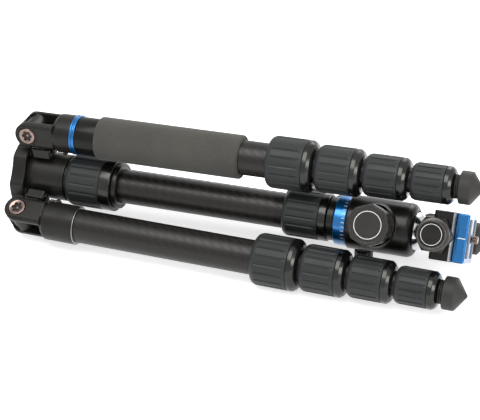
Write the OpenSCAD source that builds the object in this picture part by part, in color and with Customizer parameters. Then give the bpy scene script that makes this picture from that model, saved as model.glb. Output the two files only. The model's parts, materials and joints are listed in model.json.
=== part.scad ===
// Five-section travel tripod with a ball head, folded for the bag: the legs are swung up
// around the two-section centre column and the head.
// X runs along the column from the leg hinges to the head, Z is up, and the tripod lies on
// two of its legs. Every leg is drawn in its own frame: hinge pin at the origin, tube along
// X and the side that faces away from the column towards Z.

/* [Legs] */
// Outer diameter of the thickest leg tube
tube_d = 28; // [27:0.5:29]
// Wall of the carbon tubes
tube_wall = 1.2; // [0.9:0.05:1.25]
// Distance from a hinge pin to the tip of its foot, folded
leg_length = 378.5; // [376:1:420]
// Room between the column tube and a first leg lock, as their radii stand at the hinges
leg_room = 7; // [6:0.5:12]
// How far each folded leg stands off the column, in degrees
leg_slack = [0.5, 1.1, 1.1]; // [0.5:0.1:1.2]
// How far a leg swings from folded to closed below, in degrees
leg_swing = 176; // [150:1:176]

/* [Yokes and hinges] */
// Width across the two ears of a yoke
yoke_w = 27.6; // [26:0.2:30]
// Radius of the round end of an ear
ear_r = 11; // [10.5:0.5:11.5]
// Thickness of one ear
ear_t = 5.5; // [5:0.25:6]
// Radius of the collar that holds the leg tube
collar_r = 16; // [15.6:0.2:17]
// Where the collar ends, from the hinge pin
collar_end = 38.6; // [36:0.5:44]
// Diameter of a hinge pin
pin_d = 8; // [6:0.5:9]
// Diameter of a hinge bolt's head
bolt_head_d = 14; // [12:0.5:15]
// How far a pull tab slides
tab_pull = 3; // [2:0.5:4]

/* [Twist locks] */
// Outer diameter of the thickest leg lock
lock_d = 42; // [41:0.5:43]
// Difference in diameter from one leg lock to the next
lock_step = 4; // [3.5:0.25:4]
// Length of the first leg lock
lock_length = 37.6; // [37:0.2:38]
// How much shorter each next leg lock is
lock_shorter = 1.4; // [0.8:0.2:1.6]
// Length of the bevelled metal ring at a lock's end
lock_ring_l = 7.5; // [6:0.5:8]
// Grooves around a lock's rubber sleeve
lock_grooves = 18; // [12:1:24]
// Depth of those grooves
groove_depth = 0.8; // [0.5:0.1:1]

/* [Grip] */
// Outer diameter of the foam grip
grip_d = 35.5; // [32:0.5:36]
// Distance between the foam grip and the first leg lock
grip_room = 23.8; // [15:0.2:60]

/* [Feet] */
// Outer diameter of a foot
foot_d = 26; // [22:0.5:28]
// Length of a foot's cone
foot_cone_l = 9; // [6:0.5:10]
// Length of a foot without its cone
foot_l = 9; // [8:0.5:13]

/* [Column] */
// Outer diameter of the outer column tube
column_d = 28; // [27:0.5:29]
// How far the column slides down between the folded legs
column_travel = 88; // [60:1:89]
// How far the inner column slides out
inner_travel = 170; // [100:1:180]
// Outer diameter of the lock on the spider
column_lock_d = 44; // [42:0.5:45]
// Outer diameter of the lock on the column
upper_lock_d = 38; // [36:0.5:39]
// Where the lock on the column starts, from the hinge plane
upper_lock_start = 221; // [212:0.5:222]

/* [Ball head] */
// Outer diameter of the head's body
head_d = 43; // [40:0.5:44]
// Length of the head's body
head_l = 53.5; // [50:0.5:55]
// Outer diameter of the graduated pan ring
pan_ring_d = 40; // [38:0.5:42]
// Width of the graduated pan ring
pan_ring_w = 9.9; // [8:0.5:11]
// Diameter of the ball
ball_d = 32; // [30:0.5:33]
// Outer diameter of the ball lock knob
ball_knob_d = 33; // [28:0.5:33.5]
// Direction in which the ball lock knob and the clamp knob point, in degrees from level
knob_angle = 150; // [148:1:152]

/* [Clamp and plate] */
// Side of the square camera plate and length of the clamp
plate_w = 38.4; // [37:0.2:39]
// Height of the clamp base
clamp_h = 14; // [13:0.5:15]
// Width across the flats of the clamp knob
clamp_knob_w = 26.5; // [25:0.5:29]
// How far the jaw opens
jaw_travel = 2; // [1:0.25:2.5]
// Diameter of the camera screw, a quarter of an inch
screw_d = 6.35; // [6.2:0.05:6.35]
// Height of the camera screw above the plate
screw_h = 5.6; // [5:0.2:8]

/* [Hidden] */
legs = ["grip_leg", "front_leg", "rear_leg"];
leg_piece_names = ["yoke", "tube_1", "tube_2", "tube_3", "tube_4", "tube_5", "lock_1",
                   "lock_2", "lock_3", "lock_4", "foot", "angle_tab", "tab_spring"];

$fn = 64;
leg_angles = [90, 210, 330];
// Overrun of every cut
cut = 1;
// Radial clearance of a pin, a thread or a collet
fit = 0.08;
// Gap between turning, sliding and seated pieces
gap = 0.3;
// Glue line between a tube and what is bonded to it
glue = 0.03;

// From the column axis to a hinge pin, and the diameters that fit into the next larger tube
hinge_radius = column_d / 2 + lock_d / 2 + leg_room;
tube_step = 2 * (tube_wall + gap);
inner_d = column_d - 2 * (tube_wall + gap);

// Tubes, 1 the thickest to 5 the thinnest
function tube_r(i) = (tube_d - (i - 1) * tube_step) / 2;
// Where tube 1 starts inside its collar, and how much later each next tube starts
tube_start = 24;
tube_stagger = 3;
function tube_x(i) = tube_start + (i - 1) * tube_stagger;

// Feet
foot_x = leg_length - foot_cone_l - foot_l;
foot_seat = 9;
foot_neck_d = 19;
foot_round = 2;
foot_tip_d = 1.6;

// Leg locks: the four with their gaps end where the foot's neck shows
lock_gap = 2.2;
foot_gap = 3.9;
lock_start = foot_x - foot_gap - 4 * lock_length + 6 * lock_shorter - 3 * lock_gap;
function lock_len(i) = lock_length - (i - 1) * lock_shorter;
function lock_x(i) = i == 1 ? lock_start : lock_x(i - 1) + lock_len(i - 1) + lock_gap;
function lock_end(i) = lock_x(i) + lock_len(i);
function lock_r(i) = (lock_d - (i - 1) * lock_step) / 2;
// Length of the threaded ferrule on a tube's end and the height of its thread wall
ferrule_l = 21;
ferrule_t = 2;
// Collet of a lock: its length and the height of its cone
collet_l = 9;
collet_rise = 1.2;
// Guide bush on a tube's inner end
bush_l = 20;
// Rubber sleeve over a lock
sleeve_t = 2;
sleeve_round = 3;
sleeve_rim = 4;
nut_nose = 1.2;
groove_w = 1.3;
ring_bevel = 3.8;
// Where tube i ends: inside its lock, and tube 5 in its foot
function tube_end(i) = i < 5 ? lock_x(i) + ferrule_l : foot_x + foot_seat;
function section_travel(i) = tube_end(i - 1) - tube_x(i) - bush_l - 2 * gap;

// Yokes: the slot between the ears, the collar's bevel and the bolt seats
slot_end = 22;
collar_start = 14;
collar_bevel = 4;
collar_lip = 0.6;
ear_gap_w = yoke_w - 2 * ear_t;
bolt_seat_depth = 2.8;
bolt_head_t = 3.2;
bolt_tail = 1.6;
head_face = yoke_w / 2 - bolt_seat_depth + fit + bolt_head_t;
socket_depth = 1.6;
socket_r = 2.2;
socket_lobe_r = 1.2;
socket_lobes = 6;
socket_pin_r = 0.9;

// Spider: a hub plate with concave sides, three lugs, a barrel and a threaded end
hub_x = -13;
hub_w = 12;
hub_r = 29;
hub_hollow_r = 50;
hub_hollow_depth = 3.5;
hub_rim = 1.4;
hub_recess = 4;
lug_w = ear_gap_w - 2 * gap;
lug_r = 10.8;
barrel_r = 19.5;
barrel_end = 31;
thread_end = 58;
thread_r = column_d / 2 + 3.4;
notch_depth = 2.2;
notch_angles = [156, 126, 100];

// Angle tabs: a pull plate on the column side and a pawl between the ears
tab_w = 12;
tab_l = 15;
tab_t = 3.4;
tab_x = 1.2;
tab_top = -collar_r - 0.5;
pawl_l = 7;
pawl_h = 4;
pawl_w = 9;
pawl_tooth = 2.6;
tab_seat_x = 26;
tab_seat_l = 3;
// Springs behind the tabs: wire, coil, curls and straight ends
wire_d = 0.6;
spring_d = 3.4;
spring_curls = 5;
spring_tail = 0.7;
spring_x0 = lug_r + gap + pawl_l + gap;
spring_x1 = tab_seat_x - gap;
spring_z = tab_top - tab_t / 2;

// Grip leg
grip_x = 60.8;
grip_l = lock_start - grip_room - grip_x;
grip_round = 2.5;
screw_ring_x = collar_end + gap;
screw_ring_l = 4.4;
screw_ring_r = 16.6;
screw_sleeve_r = 15.6;

// Column
column_x = hub_x - 0.4;
plug_flange_t = 2.2;
plug_l = 16;
hook_travel = 14;
hook_stem_d = 5;
hook_head_d = 15;
hook_eye_d = 8;
hook_wire = 2;
hook_loop_t = 3;
hook_len = hook_eye_d + 2 * hook_wire;
hook_x = column_x - plug_flange_t;
hook_floor = hook_x + hook_len + gap;
hook_stop_gap = hook_travel + 1;
hook_stop_rise = 1.5;
column_lock_x = 33.2;
column_sleeve_l = 30.4;
column_band_l = 9.9;
column_nose_l = 4.5;
column_sleeve_end = column_lock_x + column_sleeve_l;
column_band_end = column_sleeve_end + column_band_l;
column_nose_end = column_band_end + column_nose_l;
column_nose_r = 18;
upper_lock_sleeve_l = 29.8;
upper_lock_band_l = 6.6;
upper_lock_sleeve_end = upper_lock_start + upper_lock_sleeve_l;
upper_lock_end = upper_lock_sleeve_end + upper_lock_band_l;
column_ferrule_l = 23;
column_end = upper_lock_start + column_ferrule_l;
inner_x = 8;

// Head
trim_x = upper_lock_end + 0.4;
trim_r = 17.5;
trim_groove = 1;
pan_pivot_r = 9;
pan_pivot_l = 7;
trim_l = 6.4;
pan_x = trim_x + trim_l;
head_x = pan_x + pan_ring_w + gap;
head_end = head_x + head_l;
head_bevel = 4;
ball_sink = 5;
ball_x = head_end - ball_sink;
ball_fit = 0.4;
stem_r = 6.2;
stem_base_r = 10;
stem_foot = 1.5;
knob_place = 23.4;
knob_x = head_x + knob_place;
knob_boss_r = 16.6;
knob_boss_top = 26;
knob_ring_r = 15.6;
knob_ring_t = 3.6;
knob_base = knob_boss_top + gap;
knob_top = 45;
knob_lobes = 8;
knob_lobe_r = 4.4;
knob_shaft_r = 3;
knob_shaft_end = 12;
knob_rim_in = 0.8;
knob_face_r = 14;
knob_face_in = 0.5;
pan_knob_place = 10.6;
pan_knob_x = head_x + pan_knob_place;
pan_knob_angle = 270;
pan_knob_r = 7.5;
pan_knob_base = 23.2;
pan_knob_top = 35;

// Clamp: base, jaw, knob, and the plate's dovetail
stem_l = 14.1;
clamp_x = head_end + stem_l;
clamp_floor = clamp_x + clamp_h;
clamp_screw_rise = 3.8;
clamp_screw_x = clamp_x + clamp_screw_rise;
clamp_cheek = 5.2;
dovetail_in = 4.8;
dovetail_foot_in = 3;
dovetail_foot_h = 0.8;
dovetail_h = 3.6;
lip_rise = 0.6;
lip_bevel = 2.8;
plate_skirt_h = 6.6;
plate_h = 14.3;
plate_floor = clamp_floor + gap;
plate_top = plate_floor + plate_h;
plate_corner = 0.9;
dove_neck = plate_w / 2 - dovetail_in;
dove_foot = plate_w / 2 - dovetail_foot_in;
lip_top = plate_floor + dovetail_h + lip_rise;
clamp_chamfer = 1.4;
clamp_socket = 6;
clamp_cap_rim = 1.2;
clamp_hex_slope = 6;
clamp_shaft_end = 4;
coin_slot_w = 1.6;
coin_slot_depth = 1.4;
plate_bevel = 1.2;
pad_t = 0.7;
pad_w = 5.6;
pad_l = 30;
pad_place = 10.5;
clamp_knob_base = plate_w / 2 + 1.2;
clamp_knob_top = 36.4;
clamp_shaft_r = 2.5;
clamp_hex_top = 29.6;
clamp_cap_r = 11.6;
screw_head_d = 14;
screw_head_t = 3;
screw_neck_r = 2.5;
screw_neck_out = 0.9;

// Where the tripod lies: its lowest side is the first lock's sleeve on the lower legs
low_rho = hinge_radius + lock_end(1) * sin(leg_slack[2]);
floor_z = -(low_rho * sin(30) + lock_r(1));
mid_x = (leg_length * cos(leg_slack[0]) + hook_x) / 2;

module turned(pts) {
    rotate([0, 90, 0]) rotate_extrude() polygon([for (p = pts) [p[1], p[0]]]);
}

module ring(r_out, r_in, x0, x1) {
    turned([[x0, r_in], [x1, r_in], [x1, r_out], [x0, r_out]]);
}

module rod(r, x0, x1) {
    translate([x0, 0, 0]) rotate([0, 90, 0]) cylinder(r = r, h = x1 - x0);
}

module across(r, y0, y1) {
    translate([0, y1, 0]) rotate([90, 0, 0]) cylinder(r = r, h = y1 - y0);
}

// Part of a leg, in its place around the column
module on_leg(k) {
    place()
        rotate([leg_angles[k] - 90, 0, 0])
            translate([0, 0, hinge_radius])
                rotate([0, -leg_slack[k], 0])
                    children();
}

module place() {
    translate([-mid_x, 0, -floor_z]) children();
}

// Part that points out of the head: its own Z is turned to the direction a
module pointing(a, x) {
    translate([x, 0, 0]) rotate([a - 90, 0, 0]) children();
}

// Yoke of a leg: two ears, a collar and the seat of the tab's spring
module yoke() {
    color("#33363a") {
        difference() {
            union() {
                intersection() {
                    union() {
                        across(ear_r, -yoke_w / 2, yoke_w / 2);
                        translate([0, -yoke_w / 2, -ear_r])
                            cube([slot_end + cut, yoke_w, 2 * ear_r]);
                    }
                    rod(collar_r, -2 * ear_r, slot_end + cut);
                }
                turned([[collar_start, 0], [collar_start, ear_r], [collar_start + collar_bevel, collar_r],
                        [collar_end - collar_lip, collar_r], [collar_end, collar_r - collar_lip],
                        [collar_end, 0]]);
                translate([tab_seat_x, -tab_w / 4, tab_top - tab_t + gap])
                    cube([tab_seat_l, tab_w / 2, collar_r]);
            }
            across(pin_d / 2 + fit, -yoke_w, yoke_w);
            across(bolt_head_d / 2 + gap, -yoke_w, -yoke_w / 2 + bolt_seat_depth);
            across(bolt_head_d / 2 + gap, yoke_w / 2 - bolt_seat_depth, yoke_w);
            translate([-2 * ear_r, -ear_gap_w / 2, -2 * collar_r])
                cube([slot_end + 2 * ear_r, ear_gap_w, 4 * collar_r]);
            rod(tube_r(1) + glue, tube_start - gap, collar_end + cut);
        }
    }
}

// Carbon tube i with its ferrule and collet, and from tube 2 on its guide bush
module leg_tube(i) {
    r = tube_r(i);
    color("#4a4038") ring(r, r - tube_wall, tube_x(i), tube_end(i));
    if (i < 5) {
        color("#5b5e62") ring(r + ferrule_t, r + glue, lock_x(i) + gap, tube_end(i));
        collet(tube_r(i + 1), r + ferrule_t - collet_rise, tube_end(i) + gap);
    }
    if (i > 1) {
        color("#d8d8d0")
            ring(tube_r(i - 1) - tube_wall - fit, r + glue, tube_x(i), tube_x(i) + bush_l);
    }
}

// Split cone that grips the tube of radius r
module collet(r, r_top, x) {
    color("#e4e2da") difference() {
        turned([[x, r + fit], [x + collet_l, r + fit], [x + collet_l, r + collet_rise],
                [x + collet_l / 3, r_top], [x, r_top]]);
        translate([x - cut, -gap, 0]) cube([collet_l + 2 * cut, 2 * gap, 2 * r]);
    }
}

// Turned nut with a bevelled ring, and the grooved rubber sleeve round it
module twist_lock(r, x0, x_ring, x1, r_thread, x_thread, r_tube, nose) {
    core_r = r - sleeve_t;
    cone = min(nut_nose, core_r - r_thread - gap);
    shoulder = min(sleeve_round, sleeve_t + cone - gap);
    color("#8f9499") {
        turned(concat([[x0 + gap, r_thread + fit], [x0 + gap, core_r - cone],
                       [x0 + gap + cone, core_r], [x_ring + gap, core_r],
                       [x_ring + gap, r]], nose,
                      [[x1, r_tube + gap], [x_thread + collet_l + 2 * gap, r_tube + gap],
                       [x_thread + collet_l + 2 * gap, r_tube + collet_rise + gap],
                       [x_thread + collet_l / 3, r_thread + fit]]));
    }
    color("#26282a") difference() {
        turned([[x0, core_r - cone + glue], [x0, r - shoulder],
                [x0 + shoulder / 3, r - shoulder / 3], [x0 + shoulder, r], [x_ring, r],
                [x_ring, core_r + glue], [x0 + cone, core_r + glue]]);
        for (n = [0 : lock_grooves - 1]) {
            rotate([(n + 1 / 2) * 360 / lock_grooves, 0, 0])
                translate([x0 + sleeve_rim, -groove_w / 2, r - groove_depth])
                    cube([x_ring - x0 - sleeve_rim - sleeve_t, groove_w, sleeve_t]);
        }
    }
}

module leg_lock(i) {
    r = lock_r(i);
    x1 = lock_end(i);
    twist_lock(r, lock_x(i), x1 - lock_ring_l, x1, tube_r(i) + ferrule_t, tube_end(i), tube_r(i + 1),
               [[x1 - lock_ring_l / 2, r], [x1, r - ring_bevel]]);
}

// Rubber foot with a pointed end, and the screw plug that holds it in tube 5
module foot() {
    r = foot_d / 2;
    color("#3a3c3c") turned([[lock_end(4) + gap, tube_r(5) + glue], [lock_end(4) + gap, foot_neck_d / 2],
        [foot_x, foot_neck_d / 2], [foot_x, r - foot_round], [foot_x + foot_round, r],
        [leg_length - foot_cone_l, r], [leg_length, foot_tip_d / 2], [leg_length, 0],
        [tube_end(5) + glue, 0], [tube_end(5) + glue, tube_r(5) + glue]]);
    color("#5b5e62")
        rod(tube_r(5) - tube_wall - glue, tube_end(5) - foot_seat, tube_end(5));
}

// Sliding tab that sets the leg's angle: pull plate, neck and a pawl behind the lug
module angle_tab() {
    pawl_x = lug_r + gap;
    color("#1d1f21") union() {
        translate([tab_x, -tab_w / 2, tab_top - tab_t]) cube([tab_l, tab_w, tab_t]);
        translate([pawl_x, -pawl_w / 2, -pawl_h / 2]) cube([pawl_l, pawl_w, pawl_h]);
        translate([pawl_x + pawl_tooth, -pawl_w / 2, tab_top - tab_t])
            cube([pawl_l - pawl_tooth, pawl_w, tab_t - tab_top + pawl_h / 2]);
    }
}

// Spring as one unbroken tube: straight end, curls on a helix, straight end
spring_sides = 6;
curl_rings = 8;
spring_rings = spring_curls * curl_rings;
spring_r = (spring_d - wire_d) / 2;
spring_body = spring_x1 - spring_x0 - 2 * spring_tail;
function spring_point(n) = [spring_x0 + spring_tail + spring_body * n / spring_rings,
    spring_r * cos(360 * n / curl_rings), spring_z + spring_r * sin(360 * n / curl_rings)];
spring_path = concat([[spring_x0, spring_r, spring_z]],
    [for (n = [0 : spring_rings]) spring_point(n)],
    [[spring_x1, spring_r, spring_z]]);
function unit(v) = v / norm(v);
function path_way(p, n) = n == 0 || n == len(p) - 1 ? [1, 0, 0] : unit(p[n + 1] - p[n - 1]);
function away(p, n) = unit([0, p[n][1], p[n][2] - spring_z]);
function ring_points(p, n) = let (t = path_way(p, n), a = unit(away(p, n) - (away(p, n) * t) * t),
    b = cross(t, a)) [for (k = [0 : spring_sides - 1]) p[n] + wire_d / 2 *
    (a * cos(360 * k / spring_sides) + b * sin(360 * k / spring_sides))];
echo(spring_gap = min([for (n = [0 : spring_rings - curl_rings])
    norm(spring_point(n + curl_rings) - spring_point(n)) - wire_d]));

module tab_spring() {
    n_rings = len(spring_path);
    last = (n_rings - 1) * spring_sides;
    points = [for (n = [0 : n_rings - 1]) each ring_points(spring_path, n)];
    sides = [for (n = [0 : n_rings - 2], k = [0 : spring_sides - 1])
        let (m = (k + 1) % spring_sides, a = n * spring_sides, b = a + spring_sides)
        each [[a + k, b + k, b + m], [a + k, b + m, a + m]]];
    ends = [for (k = [1 : spring_sides - 2]) each [[0, k, k + 1], [last, last + k + 1, last + k]]];
    color("#b9bcc0") polyhedron(points, concat(sides, ends));
}

// Foam grip on tube 1 of the top leg
module foam_grip() {
    r = grip_d / 2;
    x1 = grip_x + grip_l;
    color("#5a5d57") turned([[grip_x, tube_r(1) + glue], [grip_x, r - grip_round],
        [grip_x + grip_round / 3, r - grip_round / 3], [grip_x + grip_round, r],
        [x1 - grip_round, r], [x1 - grip_round / 3, r - grip_round / 3], [x1, r - grip_round],
        [x1, tube_r(1) + glue]]);
}

// Ring and sleeve where the grip leg unscrews
module screw_collar() {
    ring_end = screw_ring_x + screw_ring_l;
    color("#1a70b8") turned([[screw_ring_x, tube_r(1) + glue], [screw_ring_x, screw_ring_r - collar_lip],
        [screw_ring_x + collar_lip, screw_ring_r], [ring_end - collar_lip, screw_ring_r],
        [ring_end, screw_ring_r - collar_lip], [ring_end, tube_r(1) + glue]]);
    color("#101113") turned([[ring_end + glue, tube_r(1) + glue], [ring_end + glue, screw_sleeve_r],
        [grip_x - gap - collar_lip, screw_sleeve_r], [grip_x - gap, screw_sleeve_r - collar_lip],
        [grip_x - gap, tube_r(1) + glue]]);
}

// Outline of the hub plate, drawn in by w all round
module hub_outline(w) {
    difference() {
        circle(r = hub_r - w);
        for (a = leg_angles) {
            rotate(a + 60 - 90)
                translate([0, hub_r + hub_hollow_r - hub_hollow_depth])
                    circle(r = hub_hollow_r + w);
        }
    }
}

// Lug between a yoke's ears, with the notches that its pawl drops into
module lug() {
    difference() {
        rotate([90, 0, 0]) translate([0, 0, -lug_w / 2]) linear_extrude(lug_w) union() {
            circle(r = lug_r);
            polygon([[hub_x, hub_r - hinge_radius - hub_hollow_depth],
                     [-lug_r * cos(30), -lug_r * sin(30)],
                     [lug_r * cos(60), -lug_r * sin(60)],
                     [hub_x + hub_w, hub_r - hinge_radius],
                     [hub_x + hub_w, barrel_r - hinge_radius],
                     [hub_x, barrel_r - hinge_radius]]);
        }
        for (a = notch_angles) {
            rotate([0, -a, 0])
                translate([lug_r - notch_depth, -lug_w, -pawl_h / 2 - gap])
                    cube([notch_depth + cut, 2 * lug_w, pawl_h + 2 * gap]);
        }
    }
}

// Spider that carries the legs and guides the column
module spider() {
    color("#2a2c2e") difference() {
        union() {
            translate([hub_x, 0, 0]) rotate([90, 0, 90]) difference() {
                linear_extrude(hub_w) hub_outline(0);
                translate([0, 0, hub_w - hub_recess])
                    linear_extrude(hub_recess + cut) difference() {
                        hub_outline(hub_rim);
                        circle(r = barrel_r - cut);
                    }
            }
            turned([[hub_x + cut, 0], [hub_x + cut, barrel_r], [barrel_end - collar_lip, barrel_r],
                    [barrel_end, barrel_r - collar_lip], [barrel_end, thread_r],
                    [thread_end, thread_r], [thread_end, 0]]);
            for (a = leg_angles) {
                rotate([a - 90, 0, 0]) translate([0, 0, hinge_radius]) lug();
            }
        }
        rod(column_d / 2 + gap, hub_x - cut, thread_end + cut);
        for (a = leg_angles) {
            rotate([a - 90, 0, 0]) translate([0, 0, hinge_radius])
                across(pin_d / 2 + fit, -yoke_w, yoke_w);
        }
    }
    collet(column_d / 2, thread_r - collet_rise, thread_end + gap);
}

// Hinge bolts: head and shank in one, and a round nut at the far ear
module hinge_bolts() {
    for (a = leg_angles) {
        rotate([a - 90, 0, 0]) translate([0, 0, hinge_radius]) color("#c9c2bd") {
            difference() {
                union() {
                    across(bolt_head_d / 2, -head_face, -head_face + bolt_head_t);
                    across(pin_d / 2, -head_face + bolt_head_t / 2, head_face - bolt_tail);
                }
                difference() {
                    union() {
                        across(socket_r, -head_face - cut, -head_face + socket_depth);
                        for (k = [1 : socket_lobes]) {
                            rotate([0, k * 360 / socket_lobes, 0]) translate([socket_r, 0, 0])
                                across(socket_lobe_r, -head_face - cut, -head_face + socket_depth);
                        }
                    }
                    across(socket_pin_r, -head_face, -head_face + socket_depth + cut);
                }
            }
            difference() {
                across(bolt_head_d / 2, head_face - bolt_head_t, head_face);
                across(pin_d / 2 + glue, 0, head_face - bolt_tail + glue);
            }
        }
    }
}

module column_lock() {
    r = column_lock_d / 2;
    twist_lock(r, column_lock_x, column_sleeve_end, column_nose_end, thread_r, thread_end,
               column_d / 2,
               [[column_band_end - collar_lip, r], [column_band_end, r - collar_lip],
                [column_band_end, column_nose_r], [column_nose_end - collar_lip, column_nose_r],
                [column_nose_end, column_nose_r - collar_lip]]);
}

// Outer column: carbon tube, bottom plug, ferrule and collet of the upper lock
module column_tube() {
    r = column_d / 2;
    bore = r - tube_wall;
    color("#4a4038") ring(r, bore, column_x, column_end);
    color("#1d1f21") difference() {
        turned([[column_x - plug_flange_t, 0], [column_x - plug_flange_t, r],
            [column_x - collar_lip, r + cut],
                [column_x - glue, r + cut], [column_x - glue, bore - glue],
                [column_x + plug_l, bore - glue], [column_x + plug_l, 0]]);
        rod(hook_head_d / 2 + gap, column_x - plug_flange_t - cut, hook_floor);
        rod(hook_stem_d / 2 + gap, column_x, column_x + plug_l + cut);
    }
    color("#5b5e62") ring(r + ferrule_t, r + glue, upper_lock_start + gap, column_end);
    collet(inner_d / 2, r + ferrule_t - collet_rise, column_end + gap);
}

// Bag hook that sits flush in the column's plug and pulls out
module column_bag_hook() {
    color("#b9bcc0") {
        difference() {
            intersection() {
                rod(hook_head_d / 2, hook_x, hook_x + hook_len);
                translate([hook_x, -hook_loop_t / 2, -hook_head_d / 2])
                    cube([hook_len, hook_loop_t, hook_head_d]);
            }
            across_eye();
        }
        rod(hook_stem_d / 2, hook_x + hook_len - glue, column_x + plug_l + hook_stop_gap);
        rod(hook_stem_d / 2 + hook_stop_rise, column_x + plug_l + hook_stop_gap - glue,
            column_x + plug_l + hook_stop_gap + hook_stem_d / 2);
    }
}

module across_eye() {
    translate([hook_x + hook_eye_d / 2 + hook_wire, 0, 0])
        across(hook_eye_d / 2, -hook_head_d, hook_head_d);
}

module upper_column_lock() {
    r = upper_lock_d / 2;
    twist_lock(r, upper_lock_start, upper_lock_sleeve_end, upper_lock_end, column_d / 2 + ferrule_t,
               column_end, inner_d / 2,
               [[upper_lock_end - collar_lip, r], [upper_lock_end, r - collar_lip]]);
}

// Inner column with its guide bush
module inner_column() {
    r = inner_d / 2;
    color("#4a4038") ring(r, r - tube_wall, inner_x, pan_x - glue);
    color("#d8d8d0") ring(column_d / 2 - tube_wall - fit, r + glue, inner_x, inner_x + bush_l);
}

// Fixed base of the head with the graduated ring and the pan pivot
module pan_base() {
    color("#17629f") turned([[trim_x, inner_d / 2 + glue], [trim_x, trim_r], [pan_x - trim_groove, trim_r],
        [pan_x - trim_groove, trim_r - trim_groove], [pan_x, trim_r - trim_groove],
        [pan_x, pan_ring_d / 2 - collar_lip], [pan_x + collar_lip, pan_ring_d / 2],
        [pan_x + pan_ring_w - collar_lip, pan_ring_d / 2],
        [pan_x + pan_ring_w, pan_ring_d / 2 - collar_lip],
        [pan_x + pan_ring_w, pan_pivot_r], [head_x + pan_pivot_l, pan_pivot_r],
        [head_x + pan_pivot_l, 0], [pan_x, 0], [pan_x, inner_d / 2 + glue]]);
}

// Head body: ball seat, drop slot and the bosses of the two knobs
module head_body() {
    r = head_d / 2;
    color("#1f2123") difference() {
        union() {
            turned([[head_x, 0], [head_x, r - collar_lip], [head_x + collar_lip, r],
                    [head_end - head_bevel, r], [head_end - head_bevel / 3, r - head_bevel / 3],
                    [head_end, r - head_bevel], [head_end, 0]]);
            pointing(knob_angle, knob_x) cylinder(r = knob_boss_r, h = knob_boss_top);
            pointing(pan_knob_angle, pan_knob_x)
                cylinder(r = pan_knob_r - collar_lip, h = pan_knob_base - gap);
        }
        rod(pan_pivot_r + fit, head_x - cut, head_x + pan_pivot_l + gap);
        translate([ball_x, 0, 0]) sphere(r = ball_d / 2 + ball_fit, $fn = 96);
        pointing(knob_angle, knob_x)
            translate([0, 0, knob_shaft_end - gap])
                cylinder(r = knob_shaft_r + fit, h = knob_top);
        pointing(pan_knob_angle, pan_knob_x)
            translate([0, 0, pan_pivot_r + 2 * gap])
                cylinder(r = knob_shaft_r + fit, h = pan_knob_top);
        pointing(knob_angle + 180, ball_x) {
            cylinder(r = stem_r + 2 * gap, h = head_d);
            translate([0, -stem_r - 2 * gap, 0]) cube([ball_d, 2 * (stem_r + 2 * gap), head_d]);
        }
    }
}

// Ball lock knob: lobed rubber rim, metal step ring and shaft
module ball_lock_knob() {
    pointing(knob_angle, knob_x) {
        lobe_place = ball_knob_d / 2 - knob_lobe_r;
        color("#3a3b3a") difference() {
            union() {
                translate([0, 0, knob_base + knob_ring_t])
                    cylinder(r = ball_knob_d / 2 - knob_rim_in, h = knob_top - knob_base - knob_ring_t);
                for (k = [1 : knob_lobes]) {
                    rotate(k * 360 / knob_lobes) translate([lobe_place, 0, knob_base + knob_ring_t])
                        cylinder(r = knob_lobe_r, h = knob_top - knob_base - knob_ring_t - knob_rim_in);
                }
            }
            translate([0, 0, knob_top - knob_face_in])
                cylinder(r = knob_face_r, h = knob_face_in + cut);
        }
        color("#6d7073") {
            translate([0, 0, knob_base]) cylinder(r = knob_ring_r, h = knob_ring_t - glue);
            translate([0, 0, knob_shaft_end])
                cylinder(r = knob_shaft_r, h = knob_base - knob_shaft_end + glue);
        }
    }
}

// Pan lock knob: small grooved knob on a shaft
module pan_lock_knob() {
    pointing(pan_knob_angle, pan_knob_x) color("#2c2e30") {
        difference() {
            translate([0, 0, pan_knob_base]) cylinder(r = pan_knob_r, h = pan_knob_top - pan_knob_base);
            for (k = [1 : knob_lobes]) {
                rotate(k * 360 / knob_lobes)
                    translate([pan_knob_r + knob_shaft_r / 3, 0, pan_knob_base + cut])
                    cylinder(r = knob_shaft_r / 2, h = pan_knob_top);
            }
        }
        translate([0, 0, pan_pivot_r + 3 * gap])
            cylinder(r = knob_shaft_r, h = pan_knob_base - pan_pivot_r);
    }
}

// Ball with its stem
module ball_and_stem() {
    color("#c4c6c8") difference() {
        union() {
            translate([ball_x, 0, 0]) sphere(r = ball_d / 2, $fn = 96);
            turned([[ball_x, 0], [ball_x, stem_r], [clamp_x - glue - stem_foot, stem_r],
                    [clamp_x - glue, stem_base_r], [clamp_x - glue, 0]]);
        }
        rod(screw_d / 2, ball_x, clamp_x + cut);
    }
}

// Clamp base: floor, fixed lip, and a boss with the thread of the knob's screw
module clamp_base() {
    half = plate_w / 2;
    pointing(knob_angle, 0) color("#1f2123") difference() {
        translate([0, half, 0]) rotate([90, 0, 0]) linear_extrude(plate_w)
            polygon([[clamp_x, -half + clamp_chamfer], [clamp_x + clamp_chamfer, -half],
                     [lip_top - lip_bevel, -half], [lip_top, -half + lip_bevel],
                     [lip_top, -dove_neck - gap], [plate_floor + dovetail_h, -dove_neck - gap],
                     [plate_floor + dovetail_foot_h, -dove_foot - gap], [clamp_floor, -dove_foot - gap],
                     [clamp_floor, half - clamp_cheek - gap],
                     [clamp_x + clamp_chamfer, half - clamp_cheek - gap],
                     [clamp_x, half - clamp_cheek - gap - clamp_chamfer]]);
        translate([clamp_screw_x, 0, clamp_shaft_end - gap]) cylinder(r = clamp_shaft_r + fit, h = plate_w);
        rod(stem_r - cut, clamp_x - cut, clamp_x + clamp_socket);
    }
}

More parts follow.
